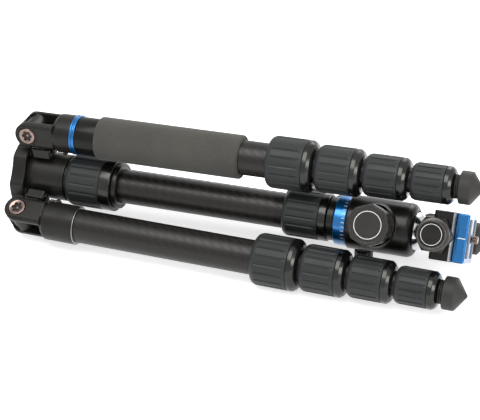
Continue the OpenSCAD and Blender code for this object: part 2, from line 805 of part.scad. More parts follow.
// Moving jaw with its slanted lip
module clamp_jaw() {
    half = plate_w / 2;
    pointing(knob_angle, 0) color("#5a6a80") difference() {
        translate([0, half, 0]) rotate([90, 0, 0]) linear_extrude(plate_w)
            polygon([[clamp_x + clamp_chamfer, half - clamp_cheek], [clamp_floor - gap, half - clamp_cheek],
                     [clamp_floor - gap, dove_foot + gap], [plate_floor + dovetail_foot_h, dove_foot + gap],
                     [plate_floor + dovetail_h, dove_neck + gap], [lip_top, dove_neck + gap],
                     [lip_top, half - lip_bevel], [lip_top - lip_bevel, half],
                     [clamp_x + 2 * clamp_chamfer, half], [clamp_x + clamp_chamfer, half - clamp_chamfer]]);
        translate([clamp_screw_x, 0, clamp_shaft_end - gap]) cylinder(r = clamp_shaft_r + fit, h = plate_w);
    }
}

// Clamp knob: six-sided grip, round cap and screw
module clamp_knob() {
    pointing(knob_angle, clamp_screw_x) {
        corner_r = clamp_knob_w / 2 / cos(30);
        color("#4a4440") difference() {
            union() {
                intersection() {
                    translate([0, 0, clamp_knob_base])
                        cylinder(r = corner_r, h = clamp_hex_top - clamp_knob_base, $fn = 6);
                    translate([0, 0, clamp_knob_base])
                        cylinder(r1 = corner_r + clamp_hex_slope, r2 = clamp_knob_w / 2 - collar_lip,
                                 h = clamp_hex_top - clamp_knob_base);
                }
                translate([0, 0, clamp_knob_base])
                    cylinder(r = clamp_cap_r, h = clamp_knob_top - clamp_knob_base);
            }
            translate([0, 0, clamp_knob_top - knob_face_in])
                cylinder(r = clamp_cap_r - clamp_cap_rim, h = knob_face_in + cut);
        }
        color("#8f9499")
            translate([0, 0, clamp_shaft_end])
                cylinder(r = clamp_shaft_r, h = clamp_knob_base - clamp_shaft_end);
    }
}

// Camera plate with a dovetail foot, bevelled edges and two rubber strips
module camera_plate() {
    half = plate_w / 2;
    pointing(knob_angle, 0) {
        color("#1673b5") difference() {
            translate([0, half, 0]) rotate([90, 0, 0]) linear_extrude(plate_w)
                polygon([[plate_floor, -dove_foot], [plate_floor + dovetail_foot_h, -dove_foot],
                         [plate_floor + dovetail_h, -dove_neck], [plate_floor + plate_skirt_h, -dove_neck],
                         [plate_floor + plate_skirt_h, -half], [plate_top - plate_bevel, -half],
                         [plate_top, -half + plate_bevel], [plate_top, half - plate_bevel],
                         [plate_top - plate_bevel, half], [plate_floor + plate_skirt_h, half],
                         [plate_floor + plate_skirt_h, dove_neck], [plate_floor + dovetail_h, dove_neck],
                         [plate_floor + dovetail_foot_h, dove_foot], [plate_floor, dove_foot]]);
            rod(screw_head_d / 2 + gap, plate_floor - cut, plate_floor + screw_head_t + 2 * gap);
            rod(screw_d / 2 + gap, plate_floor, plate_top + cut);
            for (s = [-1, 1]) {
                translate([plate_top - pad_t, -pad_l / 2 - glue, s * pad_place - pad_w / 2 - glue])
                    cube([pad_t + cut, pad_l + 2 * glue, pad_w + 2 * glue]);
                for (m = [0, 1]) {
                    mirror([0, m, 0]) translate([plate_floor, half, s * half]) rotate([45, 0, 0])
                        translate([-cut, -plate_corner, -plate_corner])
                            cube([plate_h + 2 * cut, 2 * plate_corner, 2 * plate_corner]);
                }
            }
        }
        for (s = [-1, 1]) {
            color("#8d9096") translate([plate_top - pad_t + glue, -pad_l / 2, s * pad_place - pad_w / 2])
                cube([2 * pad_t, pad_l, pad_w]);
        }
    }
}

// Captive camera screw: coin slot, thin neck in the plate, and the thread above it
module camera_screw() {
    x0 = plate_floor + gap;
    color("#c4c6c8") difference() {
        turned([[x0, 0], [x0, screw_head_d / 2], [x0 + screw_head_t, screw_head_d / 2],
                [x0 + screw_head_t, screw_neck_r], [plate_top + screw_neck_out, screw_neck_r],
                [plate_top + screw_neck_out, screw_d / 2],
                [plate_top + screw_h - collar_lip, screw_d / 2],
                [plate_top + screw_h, screw_d / 2 - collar_lip], [plate_top + screw_h, 0]]);
        translate([x0 - cut, -screw_head_d, -coin_slot_w / 2])
            cube([coin_slot_depth + cut, 2 * screw_head_d, coin_slot_w]);
    }
}

on_leg(0) yoke();  // grip_leg_yoke
on_leg(0) leg_tube(1);  // grip_leg_tube_1
on_leg(0) leg_tube(2);  // grip_leg_tube_2
on_leg(0) leg_tube(3);  // grip_leg_tube_3
on_leg(0) leg_tube(4);  // grip_leg_tube_4
on_leg(0) leg_tube(5);  // grip_leg_tube_5
on_leg(0) leg_lock(1);  // grip_leg_lock_1
on_leg(0) leg_lock(2);  // grip_leg_lock_2
on_leg(0) leg_lock(3);  // grip_leg_lock_3
on_leg(0) leg_lock(4);  // grip_leg_lock_4
on_leg(0) foot();  // grip_leg_foot
on_leg(0) angle_tab();  // grip_leg_angle_tab
on_leg(0) tab_spring();  // grip_leg_tab_spring
on_leg(1) yoke();  // front_leg_yoke
on_leg(1) leg_tube(1);  // front_leg_tube_1
on_leg(1) leg_tube(2);  // front_leg_tube_2
on_leg(1) leg_tube(3);  // front_leg_tube_3
on_leg(1) leg_tube(4);  // front_leg_tube_4
on_leg(1) leg_tube(5);  // front_leg_tube_5
on_leg(1) leg_lock(1);  // front_leg_lock_1
on_leg(1) leg_lock(2);  // front_leg_lock_2
on_leg(1) leg_lock(3);  // front_leg_lock_3
on_leg(1) leg_lock(4);  // front_leg_lock_4
on_leg(1) foot();  // front_leg_foot
on_leg(1) angle_tab();  // front_leg_angle_tab
on_leg(1) tab_spring();  // front_leg_tab_spring
on_leg(2) yoke();  // rear_leg_yoke
on_leg(2) leg_tube(1);  // rear_leg_tube_1
on_leg(2) leg_tube(2);  // rear_leg_tube_2
on_leg(2) leg_tube(3);  // rear_leg_tube_3
on_leg(2) leg_tube(4);  // rear_leg_tube_4
on_leg(2) leg_tube(5);  // rear_leg_tube_5
on_leg(2) leg_lock(1);  // rear_leg_lock_1
on_leg(2) leg_lock(2);  // rear_leg_lock_2
on_leg(2) leg_lock(3);  // rear_leg_lock_3
on_leg(2) leg_lock(4);  // rear_leg_lock_4
on_leg(2) foot();  // rear_leg_foot
on_leg(2) angle_tab();  // rear_leg_angle_tab
on_leg(2) tab_spring();  // rear_leg_tab_spring
on_leg(0) foam_grip();  // grip_leg_foam_grip
on_leg(0) screw_collar();  // grip_leg_screw_collar
place() spider();
place() hinge_bolts();
place() column_lock();
place() column_tube();
place() column_bag_hook();
place() upper_column_lock();
place() inner_column();
place() pan_base();
place() head_body();
place() ball_lock_knob();
place() pan_lock_knob();
place() ball_and_stem();
place() clamp_base();
place() clamp_jaw();
place() clamp_knob();
place() camera_plate();
place() camera_screw();
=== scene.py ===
import json
import bmesh
import bpy
import numpy as np
from mathutils import Matrix
from numpy import cos, hypot, maximum, minimum, pi, radians, sin


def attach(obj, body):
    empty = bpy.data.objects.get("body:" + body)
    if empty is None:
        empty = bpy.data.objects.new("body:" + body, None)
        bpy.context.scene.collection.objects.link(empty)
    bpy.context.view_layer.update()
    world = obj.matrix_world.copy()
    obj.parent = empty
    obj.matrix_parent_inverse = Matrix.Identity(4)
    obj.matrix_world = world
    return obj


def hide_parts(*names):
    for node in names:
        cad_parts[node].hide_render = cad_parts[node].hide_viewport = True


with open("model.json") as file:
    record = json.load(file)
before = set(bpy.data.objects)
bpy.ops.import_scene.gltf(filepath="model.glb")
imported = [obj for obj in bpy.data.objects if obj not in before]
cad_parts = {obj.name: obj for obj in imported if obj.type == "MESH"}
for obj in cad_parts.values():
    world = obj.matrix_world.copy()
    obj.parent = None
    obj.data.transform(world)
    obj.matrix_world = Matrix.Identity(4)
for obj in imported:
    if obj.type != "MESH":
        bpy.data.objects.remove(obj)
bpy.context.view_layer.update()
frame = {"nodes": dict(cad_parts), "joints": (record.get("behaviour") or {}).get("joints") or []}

nodes = frame["nodes"]
joints = {j["name"]: j for j in frame["joints"]}
mm = 0.001
print("stage: frame loaded with", len(nodes), "nodes")


# An origin in metres with three directions: x along a tube or shaft, z and y across it
class Axes:
    def __init__(self, origin, x, z):
        self.origin = np.array(origin, float)
        self.x = np.array(x, float) / np.linalg.norm(x)
        z = np.array(z, float) - np.dot(z, self.x) * self.x
        self.z = z / np.linalg.norm(z)
        self.y = np.cross(self.z, self.x)

    # local places in mm, in arrays of any shape, become places in metres
    def points(self, x, y, z):
        x, y, z = np.broadcast_arrays(x, y, z)
        return self.origin + mm * (x[..., None] * self.x + y[..., None] * self.y + z[..., None] * self.z)

    # the same origin with x turned out along z, for what is turned about z
    def outward(self):
        return Axes(self.origin, self.z, self.x)


# A dictionary of a piece's values that are read as form.radius
class Form(dict):
    __getattr__ = dict.__getitem__


# Grid of points with rows u and columns v, closed round u, and round v if asked: corner
# (i, j) is joined to (i+1, j), (i+1, j+1) and (i, j+1). The UV map is the way round and
# along in mm, stretched a little so that a pattern of 8 mm closes on itself.
def gridSurface(points, around, along, closedV=False):
    rows, cols = points.shape[:2]
    i, j = np.meshgrid(np.arange(rows), np.arange(cols if closedV else cols - 1), indexing="ij")
    i2, j2 = (i + 1) % rows, (j + 1) % cols
    quads = np.stack([i * cols + j, i2 * cols + j, i2 * cols + j2, i * cols + j2], -1).reshape(-1, 4)
    along = np.append(along, along[-1] + 1)
    corners = [(i, j), (i + 1, j), (i + 1, j + 1), (i, j + 1)]
    uv = np.stack([np.stack([a * around / rows, along[b]], -1) for a, b in corners], 2).reshape(-1, 2)
    return points.reshape(-1, 3), quads, uv


# Profile through corners (x, r, rounding): each corner becomes the curve
# (1-t)^2 a + 2t(1-t) c + t^2 b between the points a and b where the rounding starts and ends
def roundedProfile(corners, steps=6):
    corners = [tuple(c) + (0,) if len(c) == 2 else tuple(c) for c in corners]
    at = np.array([c[:2] for c in corners], float)
    out = []
    for n in range(len(at)):
        back, ahead = at[n - 1] - at[n], at[(n + 1) % len(at)] - at[n]
        lengthBack, lengthAhead = np.linalg.norm(back), np.linalg.norm(ahead)
        rounding = min(corners[n][2], lengthBack * 0.49, lengthAhead * 0.49)
        if rounding < 1e-6 or (n in (0, len(at) - 1) and min(at[n, 1], at[n - 1, 1]) < 1e-9):
            out.append(at[n])
            continue
        a, b = at[n] + back / lengthBack * rounding, at[n] + ahead / lengthAhead * rounding
        t = np.linspace(0, 1, steps)[:, None]
        out.extend((1 - t) ** 2 * a + 2 * t * (1 - t) * at[n] + t ** 2 * b)
    return np.array(out)


# Profile carried round the x axis: p(a, s) = (x(s), R sin a, R cos a), R = r(s) + shift(a, x(s)).
# A profile that starts and ends on the axis gives a solid, any other is closed into a ring.
def turned(axes, corners, turns=96, shift=None, fine=0):
    profile = roundedProfile(corners)
    isRing = profile[0, 1] > 1e-9 or profile[-1, 1] > 1e-9
    if fine:
        closing = profile[:1] if isRing else profile[:0]
        ends = np.concatenate([profile, closing])
        counts = [max(2, int(hypot(*step) / fine) + 1) for step in np.diff(ends, axis=0)]
        split = [np.linspace(0, 1, count, endpoint=False)[:, None] * (b - a) + a
                 for a, b, count in zip(ends[:-1], ends[1:], counts)]
        profile = np.concatenate(split + [ends[-1:]] * (not isRing))
    angle = np.linspace(0, 2 * pi, turns, endpoint=False)[:, None]
    x, r = profile[None, :, 0], profile[None, :, 1]
    radius = r + (shift(angle, x, r) if shift else 0)
    grid = axes.points(x + 0 * angle, radius * sin(angle), radius * cos(angle))
    along = np.concatenate([[0], np.cumsum(hypot(*np.diff(profile, axis=0).T))])
    around = 8 * max(1, round(2 * pi * profile[:, 1].max() / 8))
    return gridSurface(grid, around, along, isRing)


# Corners for a tube, ring or disc: from start to end along x, from the inner radius to the
# outer, with the roundings of its two outer edges
def ringOutline(start, end, inner, outer, edge=0.0, endEdge=None):
    last = edge if endEdge is None else endEdge
    return [(start, inner), (start, outer, edge), (end, outer, last), (end, inner)]


# Surface where a field of distances in mm is zero. Each cell of a grid that the surface
# crosses gets one point, the mean of the crossings on its edges, and every crossed edge
# gets a quad from its four cells. The points are then drawn to the surface along the
# field's slope: p - f(p) g / |g|^2. form gives the box low to high and the cell's step in mm.
def fieldSurface(axes, field, form):
    step = form.step
    line = [np.arange(a - 1.5 * step, b + 2.5 * step, step) for a, b in zip(form.low, form.high)]
    value = field(line[0][:, None, None], line[1][None, :, None], line[2][None, None, :])
    value = np.broadcast_to(value, [len(a) for a in line]).astype(np.float32)
    inside = value < 0
    cornerSteps = [(a, b, c) for a in (0, 1) for b in (0, 1) for c in (0, 1)]
    nx, ny, nz = inside.shape
    count = sum(inside[a:nx - 1 + a, b:ny - 1 + b, c:nz - 1 + c].astype(np.int8) for a, b, c in cornerSteps)
    active = (count > 0) & (count < 8)
    cell = np.argwhere(active)
    number = np.full(active.shape, -1, np.int64)
    number[active] = np.arange(len(cell))
    corner = np.stack([value[cell[:, 0] + a, cell[:, 1] + b, cell[:, 2] + c] for a, b, c in cornerSteps], 1)
    total, crossings = np.zeros((len(cell), 3)), np.zeros((len(cell), 1))
    for m in range(8):
        for n in range(m + 1, 8):
            way = np.subtract(cornerSteps[n], cornerSteps[m])
            if abs(way).sum() == 1:
                a, b = corner[:, m:m + 1], corner[:, n:n + 1]
                crosses = (a < 0) != (b < 0)
                t = np.where(crosses, a / np.where(crosses, a - b, 1), 0)
                total += crosses * (np.array(cornerSteps[m]) + t * way)
                crossings += crosses
    p = np.array([a[0] for a in line]) + step * (cell + total / crossings)
    for _ in range(3):
        f = field(*p.T)
        h = 0.02 * step
        slope = np.stack([(field(*(p + h * e).T) - field(*(p - h * e).T)) / (2 * h) for e in np.eye(3)], 1)
        move = -(f / maximum((slope ** 2).sum(1), 0.2))[:, None] * slope
        p += np.clip(move, -0.5 * step, 0.5 * step)
    quads = []
    for axis in range(3):
        order = [axis, (axis + 1) % 3, (axis + 2) % 3]
        sides, cells = inside.transpose(order), number.transpose(order)
        low0, high0 = sides[:-1, 1:-1, 1:-1], sides[1:, 1:-1, 1:-1]
        for facing in (1, -1):
            at = np.argwhere(low0 & ~high0 if facing == 1 else high0 & ~low0)
            i, j, k = at[:, 0], at[:, 1] + 1, at[:, 2] + 1
            quad = [cells[i, j - 1, k - 1], cells[i, j, k - 1], cells[i, j, k], cells[i, j - 1, k]]
            quads.append(np.stack(quad, 1)[:, ::facing])
    quads = np.concatenate(quads)
    return axes.points(*p.T), quads, np.zeros((quads.size, 2))


# Distances in mm for the fields: a slab between two planes, a rod along an axis, a block, and
# meetings of two bodies whose edge is a quarter circle: min(max(p, q), 0) + |max((p, q), 0)| - e
def slab(t, t0, t1):
    return abs(t - (t0 + t1) / 2) - (t1 - t0) / 2


def both(a, b, edge=0.0):
    p, q = a + edge, b + edge
    return minimum(maximum(p, q), 0) + hypot(maximum(p, 0), maximum(q, 0)) - edge


def joined(a, b, fillet=0.0):
    return -both(-a, -b, fillet)


def less(a, b, edge=0.0):
    return both(a, -b, edge)


# around is the distance from the rod's axis, along the place on it
def rod(around, radius, along, low, high, edge=0.0):
    return both(around - radius, slab(along, low, high), edge)


def block(x, y, z, low, high, edge=0.0):
    sides = [slab(place, a, b) for place, a, b in zip((x, y, z), low, high)]
    return both(both(sides[0], sides[1], edge), sides[2], edge)


# Distance to a polygon: the nearest of its edges, negative where a ray to the right
# crosses the edges an odd number of times
def polygon(u, v, corners):
    near, isIn = np.inf, False
    for (u0, v0), (u1, v1) in zip(corners, corners[1:] + corners[:1]):
        du, dv, pu, pv = u1 - u0, v1 - v0, u - u0, v - v0
        t = np.clip((pu * du + pv * dv) / (du * du + dv * dv), 0, 1)
        near = minimum(near, hypot(pu - t * du, pv - t * dv))
        if dv:
            isIn = isIn ^ (((v0 > v) != (v1 > v)) & (pu < du * pv / dv))
    return np.where(isIn, -near, near)


def newObject(name, data):
    obj = bpy.data.objects.new(name, data)
    bpy.context.scene.collection.objects.link(obj)
    return obj


# One object from several surfaces, each with its material; its place is in its mesh
def makePiece(name, surfaces, body, replaced=()):
    mesh = bpy.data.meshes.new(name)
    points = np.concatenate([s[0][0] for s in surfaces])
    starts = np.cumsum([0] + [len(s[0][0]) for s in surfaces])
    quads = np.concatenate([s[0][1] + start for s, start in zip(surfaces, starts)])
    uv = np.concatenate([s[0][2] for s in surfaces])
    index = np.concatenate([np.full(len(s[0][1]), n) for n, s in enumerate(surfaces)])
    mesh.vertices.add(len(points))
    mesh.vertices.foreach_set("co", np.ascontiguousarray(points, float).ravel())
    mesh.loops.add(quads.size)
    mesh.loops.foreach_set("vertex_index", quads.ravel().astype(np.int32))
    mesh.polygons.add(len(quads))
    mesh.polygons.foreach_set("loop_start", np.arange(len(quads), dtype=np.int32) * 4)
    mesh.polygons.foreach_set("use_smooth", np.ones(len(quads), bool))
    mesh.polygons.foreach_set("material_index", index.astype(np.int32))
    mesh.uv_layers.new(name="mmMap").data.foreach_set("uv", uv.ravel())
    mesh.update(calc_edges=True)
    obj = newObject(name, mesh)
    for surface in surfaces:
        mesh.materials.append(surface[1])
    cleanMesh(mesh)
    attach(obj, body)
    if replaced:
        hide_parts(*([replaced] if isinstance(replaced, str) else replaced))
    return obj


# Closes seams and poles, turns the faces outwards and marks sharp edges for the shading
def cleanMesh(mesh, sharpDegrees=38):
    work = bmesh.new()
    work.from_mesh(mesh)
    bmesh.ops.remove_doubles(work, verts=work.verts, dist=2e-7)
    bmesh.ops.dissolve_degenerate(work, edges=work.edges, dist=2e-7)
    bmesh.ops.recalc_face_normals(work, faces=work.faces)
    work.to_mesh(mesh)
    work.free()
    mesh.set_sharp_from_angle(angle=radians(sharpDegrees))


# Materials

# sRGB hex to linear
def linear(hexColour):
    c = np.array([int(hexColour[i:i + 2], 16) for i in (1, 3, 5)]) / 255
    return (*np.where(c <= 0.04045, c / 12.92, ((c + 0.055) / 1.055) ** 2.4), 1)


# Adds a node with its settings (properties or sockets) and its links (socket: source). A
# source is a socket, or a node whose first output is meant.
def addNode(tree, kind, settings=None, links=None):
    node = tree.nodes.new("ShaderNode" + kind)
    for key, value in (settings or {}).items():
        if isinstance(key, str) and hasattr(node, key):
            setattr(node, key, value)
        else:
            node.inputs[key].default_value = value
    for key, source in (links or {}).items():
        tree.links.new(source.outputs[0] if hasattr(source, "outputs") else source, node.inputs[key])
    return node


def newTree(name):
    material = bpy.data.materials.new(name)
    material.use_nodes = True
    material.node_tree.nodes.clear()
    return material, material.node_tree


# Grained finish: fine noise and slow noise mix the two tones and move the gloss, and the
# fine noise is the relief. grain, relief and patch are in mm; noise lies mostly between
# low and high.
grainMix = Form(fine=0.55, slow=0.45, mixedRange=(0.36, 0.64), slowRange=(0.3, 0.7), patch=18, spread=0.06)


def grainedFinish(name, **values):
    material, tree = newTree(name)
    look = Form(grainMix, **values)
    (low, high), (slowLow, slowHigh) = look.mixedRange, look.slowRange
    place = {"Vector": addNode(tree, "TexCoord").outputs["Object"]}
    fine = addNode(tree, "TexNoise", {"Scale": 1 / (look.grain * mm), "Detail": 2.0}, place)
    slow = addNode(tree, "TexNoise", {"Scale": 1 / (look.patch * mm), "Detail": 3.0}, place)
    part = addNode(tree, "Math", {"operation": "MULTIPLY", 1: look.slow}, {0: slow})
    mixed = addNode(tree, "Math", {"operation": "MULTIPLY_ADD", 1: look.fine}, {0: fine, 2: part})
    share = addNode(tree, "MapRange", {"From Min": low, "From Max": high}, {"Value": mixed})
    tones = {"data_type": "RGBA", 6: linear(look.dark), 7: linear(look.light)}
    tone = addNode(tree, "Mix", tones, {0: share})
    gloss = addNode(tree, "MapRange", {"From Min": slowLow, "From Max": slowHigh,
                                       "To Min": look.roughness - look.spread,
                                       "To Max": look.roughness + look.spread}, {"Value": slow})
    bump = addNode(tree, "Bump", {"Strength": 1.0, "Distance": look.relief * mm}, {"Height": fine})
    shader = addNode(tree, "BsdfPrincipled", look.get("shader"),
                     {"Base Color": tone.outputs[2], "Roughness": gloss, "Normal": bump})
    addNode(tree, "OutputMaterial", links={"Surface": shader})
    return material


# Die-cast magnesium, powder coated: dark charcoal with a satin, slightly pebbled skin
castAlloy = grainedFinish("powderCoatedMagnesium", dark="#171614", light="#21201d", grain=0.7, relief=0.008,
    roughness=0.36, shader={"Specular IOR Level": 0.22})

# Turned aluminium, clear anodised: pale grey metal with a soft sheen
clearAnodised = grainedFinish("clearAnodisedAluminium", dark="#9a9c9f", light="#b4b6b8", grain=0.5,
    relief=0.004, roughness=0.34, shader={"Metallic": 1.0})

# Turned aluminium, gunmetal anodised: the bevelled rings of the locks, dark with a broad soft shine
gunmetal = grainedFinish("gunmetalAnodisedAluminium", dark="#313230", light="#3b3c3a", grain=0.5,
    relief=0.004, roughness=0.2, shader={"Metallic": 0.9})

# Turned aluminium, black anodised: near black, with a soft sheen
blackAnodised = grainedFinish("blackAnodisedAluminium", dark="#131210", light="#1b1a18", grain=0.5,
    relief=0.004, roughness=0.3, shader={"Metallic": 0.15, "Specular IOR Level": 0.3})

# Turned aluminium, blue anodised: saturated blue metal with bright turned bands
blueLook = Form(dark="#035c98", light="#0670b2", grain=0.4, relief=0.004, roughness=0.3,
                shader={"Metallic": 0.85, "Coat Weight": 0.7, "Coat Roughness": 0.12})
blueAnodised = grainedFinish("blueAnodisedAluminium", **blueLook)

# Moulded nitrile rubber on the locks: dull black-grey with a dry bloom
lockRubber = grainedFinish("mouldedNitrileRubber", dark="#1c1e1f", light="#262929", grain=0.45, relief=0.02,
    roughness=0.52, shader={"Specular IOR Level": 0.35})

# Closed-cell foam of the grip: dark grey, matt, with pores drawn 0.8 mm wide so that they show
gripFoam = grainedFinish("closedCellFoam", dark="#3b3a36", light="#4b4a45", grain=0.8, relief=0.12,
    roughness=0.88, patch=30,
    shader={"Specular IOR Level": 0.3, "Sheen Weight": 0.15, "Sheen Roughness": 0.5})

# Thermoplastic rubber of the feet: dark grey, matt
footRubber = grainedFinish("thermoplasticRubber", dark="#23221f", light="#2d2c28", grain=0.5, relief=0.02,
    roughness=0.55, shader={"Specular IOR Level": 0.35})

# Gloss lacquered sleeve: smooth black with a thin clear coat
glossBlack = grainedFinish("glossLacquer", dark="#0f0e0d", light="#161513", grain=2.0, relief=0.001,
    roughness=0.26, spread=0.03,
    shader={"Specular IOR Level": 0.15, "Coat Weight": 0.06, "Coat Roughness": 0.12})

# Zinc plated steel of bolts, springs and hook: dim metal with a warm tint
platedSteel = grainedFinish("zincPlatedSteel", dark="#71605a", light="#8f7d75", grain=0.6, relief=0.003,
    roughness=0.2, shader={"Metallic": 1.0})

# Polished chrome steel of the ball: bright, almost without grain
polishedSteel = grainedFinish("polishedSteel", dark="#c3c5c7", light="#d2d4d6", grain=1.2, relief=0.0008,
    roughness=0.14, spread=0.03, shader={"Metallic": 1.0})

# Acetal of the bushes and collets: milky white plastic
acetal = grainedFinish("acetal", dark="#d5d4cc", light="#e4e3dc", grain=0.8, relief=0.006, roughness=0.45)

# Cork-filled rubber of the plate's strips: mid grey, soft
padRubber = grainedFinish("corkedRubber", dark="#74777c", light="#8f9297", grain=0.5, relief=0.03,
    roughness=0.8)

# Anodised aluminium of the clamp knob: dark brown-grey, satin
knobAlloy = grainedFinish("bronzeGreyAnodised", dark="#4b4744", light="#575350", grain=0.5, relief=0.006,
    roughness=0.34, shader={"Metallic": 0.8})

# Glass-filled nylon of the ball-lock knob: brown-black, satin, with soft bright edges
knobNylon = grainedFinish("glassFilledNylon", dark="#1d1a18", light="#262320", grain=0.5, relief=0.008,
    roughness=0.36, shader={"Specular IOR Level": 0.4})

# White index paint in thin lines
indexPaint = grainedFinish("indexPaint", dark="#d9dadb", light="#e8e9ea", grain=0.6, relief=0.004,
    roughness=0.5)

# Carbon tube: a 2/2 twill of 2 mm tows under clear lacquer, brown-black, with clouds in mm.
# A tow lies on top where the sum of its row and column numbers, divided by 4, leaves less than 2.
carbonLook = Form(tow=2.0, across="#14110e", along="#1b1713", relief=0.01, roughness=0.42, spread=0.05,
                  cloud=14, cloudShare=0.35,
                  shader={"Specular IOR Level": 0.32, "Coat Weight": 0.08, "Coat Roughness": 0.25})


def carbonFinish(name, look):
    material, tree = newTree(name)
    split = addNode(tree, "SeparateXYZ", links={0: addNode(tree, "UVMap", {"uv_map": "mmMap"})})
    number, wave = [], []
    for n in range(2):
        scaled = addNode(tree, "Math", {"operation": "DIVIDE", 1: look.tow}, {0: split.outputs[n]})
        number.append(addNode(tree, "Math", {"operation": "FLOOR"}, {0: scaled}))
        part = addNode(tree, "Math", {"operation": "FRACT"}, {0: scaled})
        wave.append(addNode(tree, "Math", {"operation": "PINGPONG", 1: 0.5}, {0: part}))
    total = addNode(tree, "Math", {"operation": "ADD"}, {0: number[0], 1: number[1]})
    quarter = addNode(tree, "Math", {"operation": "FLOORED_MODULO", 1: 4.0}, {0: total})
    onTop = addNode(tree, "Math", {"operation": "LESS_THAN", 1: 1.5}, {0: quarter})
    cloud = addNode(tree, "TexNoise", {"Scale": 1 / (look.cloud * mm), "Detail": 3.0},
                    {"Vector": addNode(tree, "TexCoord").outputs["Object"]})
    tone = addNode(tree, "Mix", {"data_type": "RGBA", 6: linear(look.across), 7: linear(look.along)},
                   {0: onTop})
    shade = addNode(tree, "Mix", {"data_type": "RGBA", "blend_type": "MULTIPLY", 0: look.cloudShare},
                    {6: tone.outputs[2], 7: cloud.outputs["Color"]})
    height = addNode(tree, "Mix", {"data_type": "FLOAT"}, {0: onTop, 2: wave[1], 3: wave[0]})
    bump = addNode(tree, "Bump", {"Strength": 0.6, "Distance": look.relief * mm}, {"Height": height})
    gloss = addNode(tree, "MapRange", {"To Min": look.roughness - look.spread,
                                       "To Max": look.roughness + look.spread}, {"Value": onTop})
    shader = addNode(tree, "BsdfPrincipled", look.shader,
                     {"Base Color": shade.outputs[2], "Roughness": gloss, "Normal": bump})
    addNode(tree, "OutputMaterial", links={"Surface": shader})
    return material


carbon = carbonFinish("twillCarbonTube", carbonLook)
print("stage: materials made")

# Frames: each leg's own (pin at the origin, tube along x, outer side z), and the
# column's frame, with its origin in the plane of the hinge pins
legNames = ["grip_leg", "front_leg", "rear_leg"]
legAxes = {}
for name in legNames:
    hinge, along = joints[name + "_hinge"], np.array(joints[name + "_section_2_slide"]["axis"])
    legAxes[name] = Axes(hinge["pos_m"], along, np.cross(along, -np.array(hinge["axis"])))
columnAxes = Axes(joints["column_lock_turn"]["pos_m"], (1, 0, 0), (0, 0, 1))


# the column's frame with z turned to point out at an angle round the column, and its
# origin moved along the column and out, in mm
def pointing(degrees, along=0.0, out=0.0):
    z = np.array((0, cos(radians(degrees)), sin(radians(degrees))))
    return Axes(columnAxes.origin + mm * (along * columnAxes.x + out * z), (1, 0, 0), z)


# Gives an object its place and the directions of its own x, y and z
def setPlace(obj, right, up, back, place):
    turn = np.eye(4)
    turn[:3] = np.stack([right, up, back, place], 1)
    obj.matrix_world = Matrix(turn.tolist())


# Camera at the photograph's place and view angle, in mm from the column's origin
cameraSetup = Form(
    place=(560.972, -1035.196, 635.469), right=(0.943240, 0.331172, -0.024970),
    up=(-0.146175, 0.481493, 0.864175), lens=117.54)
camera = newObject("camera", bpy.data.cameras.new("camera"))
setPlace(camera, cameraSetup.right, cameraSetup.up, np.cross(cameraSetup.right, cameraSetup.up),
         columnAxes.origin + mm * np.array(cameraSetup.place))
camera.data.sensor_width, camera.data.lens = 36, cameraSetup.lens
camera.data.clip_start, camera.data.clip_end = 0.05, 50
bpy.context.scene.camera = camera


# One for rays from the camera, rays off gloss and rays through glass, zero for the others
def seenShare(tree):
    rays = addNode(tree, "LightPath").outputs
    share = rays["Is Camera Ray"]
    for kind in ("Is Glossy Ray", "Is Transmission Ray"):
        share = addNode(tree, "Math", {"operation": "MAXIMUM"}, {0: share, 1: rays[kind]})
    return share


# Floor: matt white board, seen by the camera as the photograph's white ground
floorSetup = Form(half=6.0, colour="#f2f2f2", glow=0.66)
floorMesh = bpy.data.meshes.new("floor")
a = floorSetup.half
floorMesh.from_pydata([(-a, -a, 0), (a, -a, 0), (a, a, 0), (-a, a, 0)], [], [(0, 1, 2, 3)])
floor = newObject("floor", floorMesh)
boardWhite, tree = newTree("matteWhiteBoard")
glow = addNode(tree, "Math", {"operation": "MULTIPLY", 1: floorSetup.glow}, {0: seenShare(tree)})
board = addNode(tree, "BsdfDiffuse", {"Color": linear(floorSetup.colour)})
light = addNode(tree, "Emission", {"Color": (1, 1, 1, 1)}, {"Strength": glow})
litBoard = addNode(tree, "AddShader", links={0: board, 1: light})
addNode(tree, "OutputMaterial", links={"Surface": litBoard})
floorMesh.materials.append(boardWhite)

# World: even white studio, weaker as a light than as what the camera and metal see
worldSetup = Form(seen=1.0, light=0.62)
world = bpy.data.worlds.new("studio")
bpy.context.scene.world = world
world.use_nodes = True
tree = world.node_tree
tree.nodes.clear()
strength = addNode(tree, "MapRange", {"To Min": worldSetup.light, "To Max": worldSetup.seen},
                   {"Value": seenShare(tree)})
sky = addNode(tree, "Background", {"Color": (1, 1, 1, 1)}, {"Strength": strength})
addNode(tree, "OutputWorld", links={"Surface": sky})

# Soft boxes: place and aim in metres from the middle of the part, side in metres, power in watts
lampSetup = {"overhead": {"place": (-0.25, -0.5, 1.3), "aim": (0, 0, 0.03), "side": 0.9, "power": 13},
             "rightSide": {"place": (1.2, -0.5, 0.6), "aim": (0.05, 0, 0.04), "side": 0.5, "power": 6},
             "behind": {"place": (0.2, 1.2, 0.8), "aim": (0, 0, 0.05), "side": 0.7, "power": 6}}
for name, lamp in lampSetup.items():
    data = bpy.data.lights.new(name, "AREA")
    data.shape, data.size, data.energy = "SQUARE", lamp["side"], lamp["power"]
    back = np.subtract(lamp["place"], lamp["aim"])
    back = back / np.linalg.norm(back)
    across = np.cross((0, 0, 1), back)
    across = across / np.linalg.norm(across)
    setPlace(newObject(name, data), across, np.cross(back, across), back, lamp["place"])
bpy.context.scene.view_settings.view_transform = "Standard"
print("stage: camera, floor and lights set")

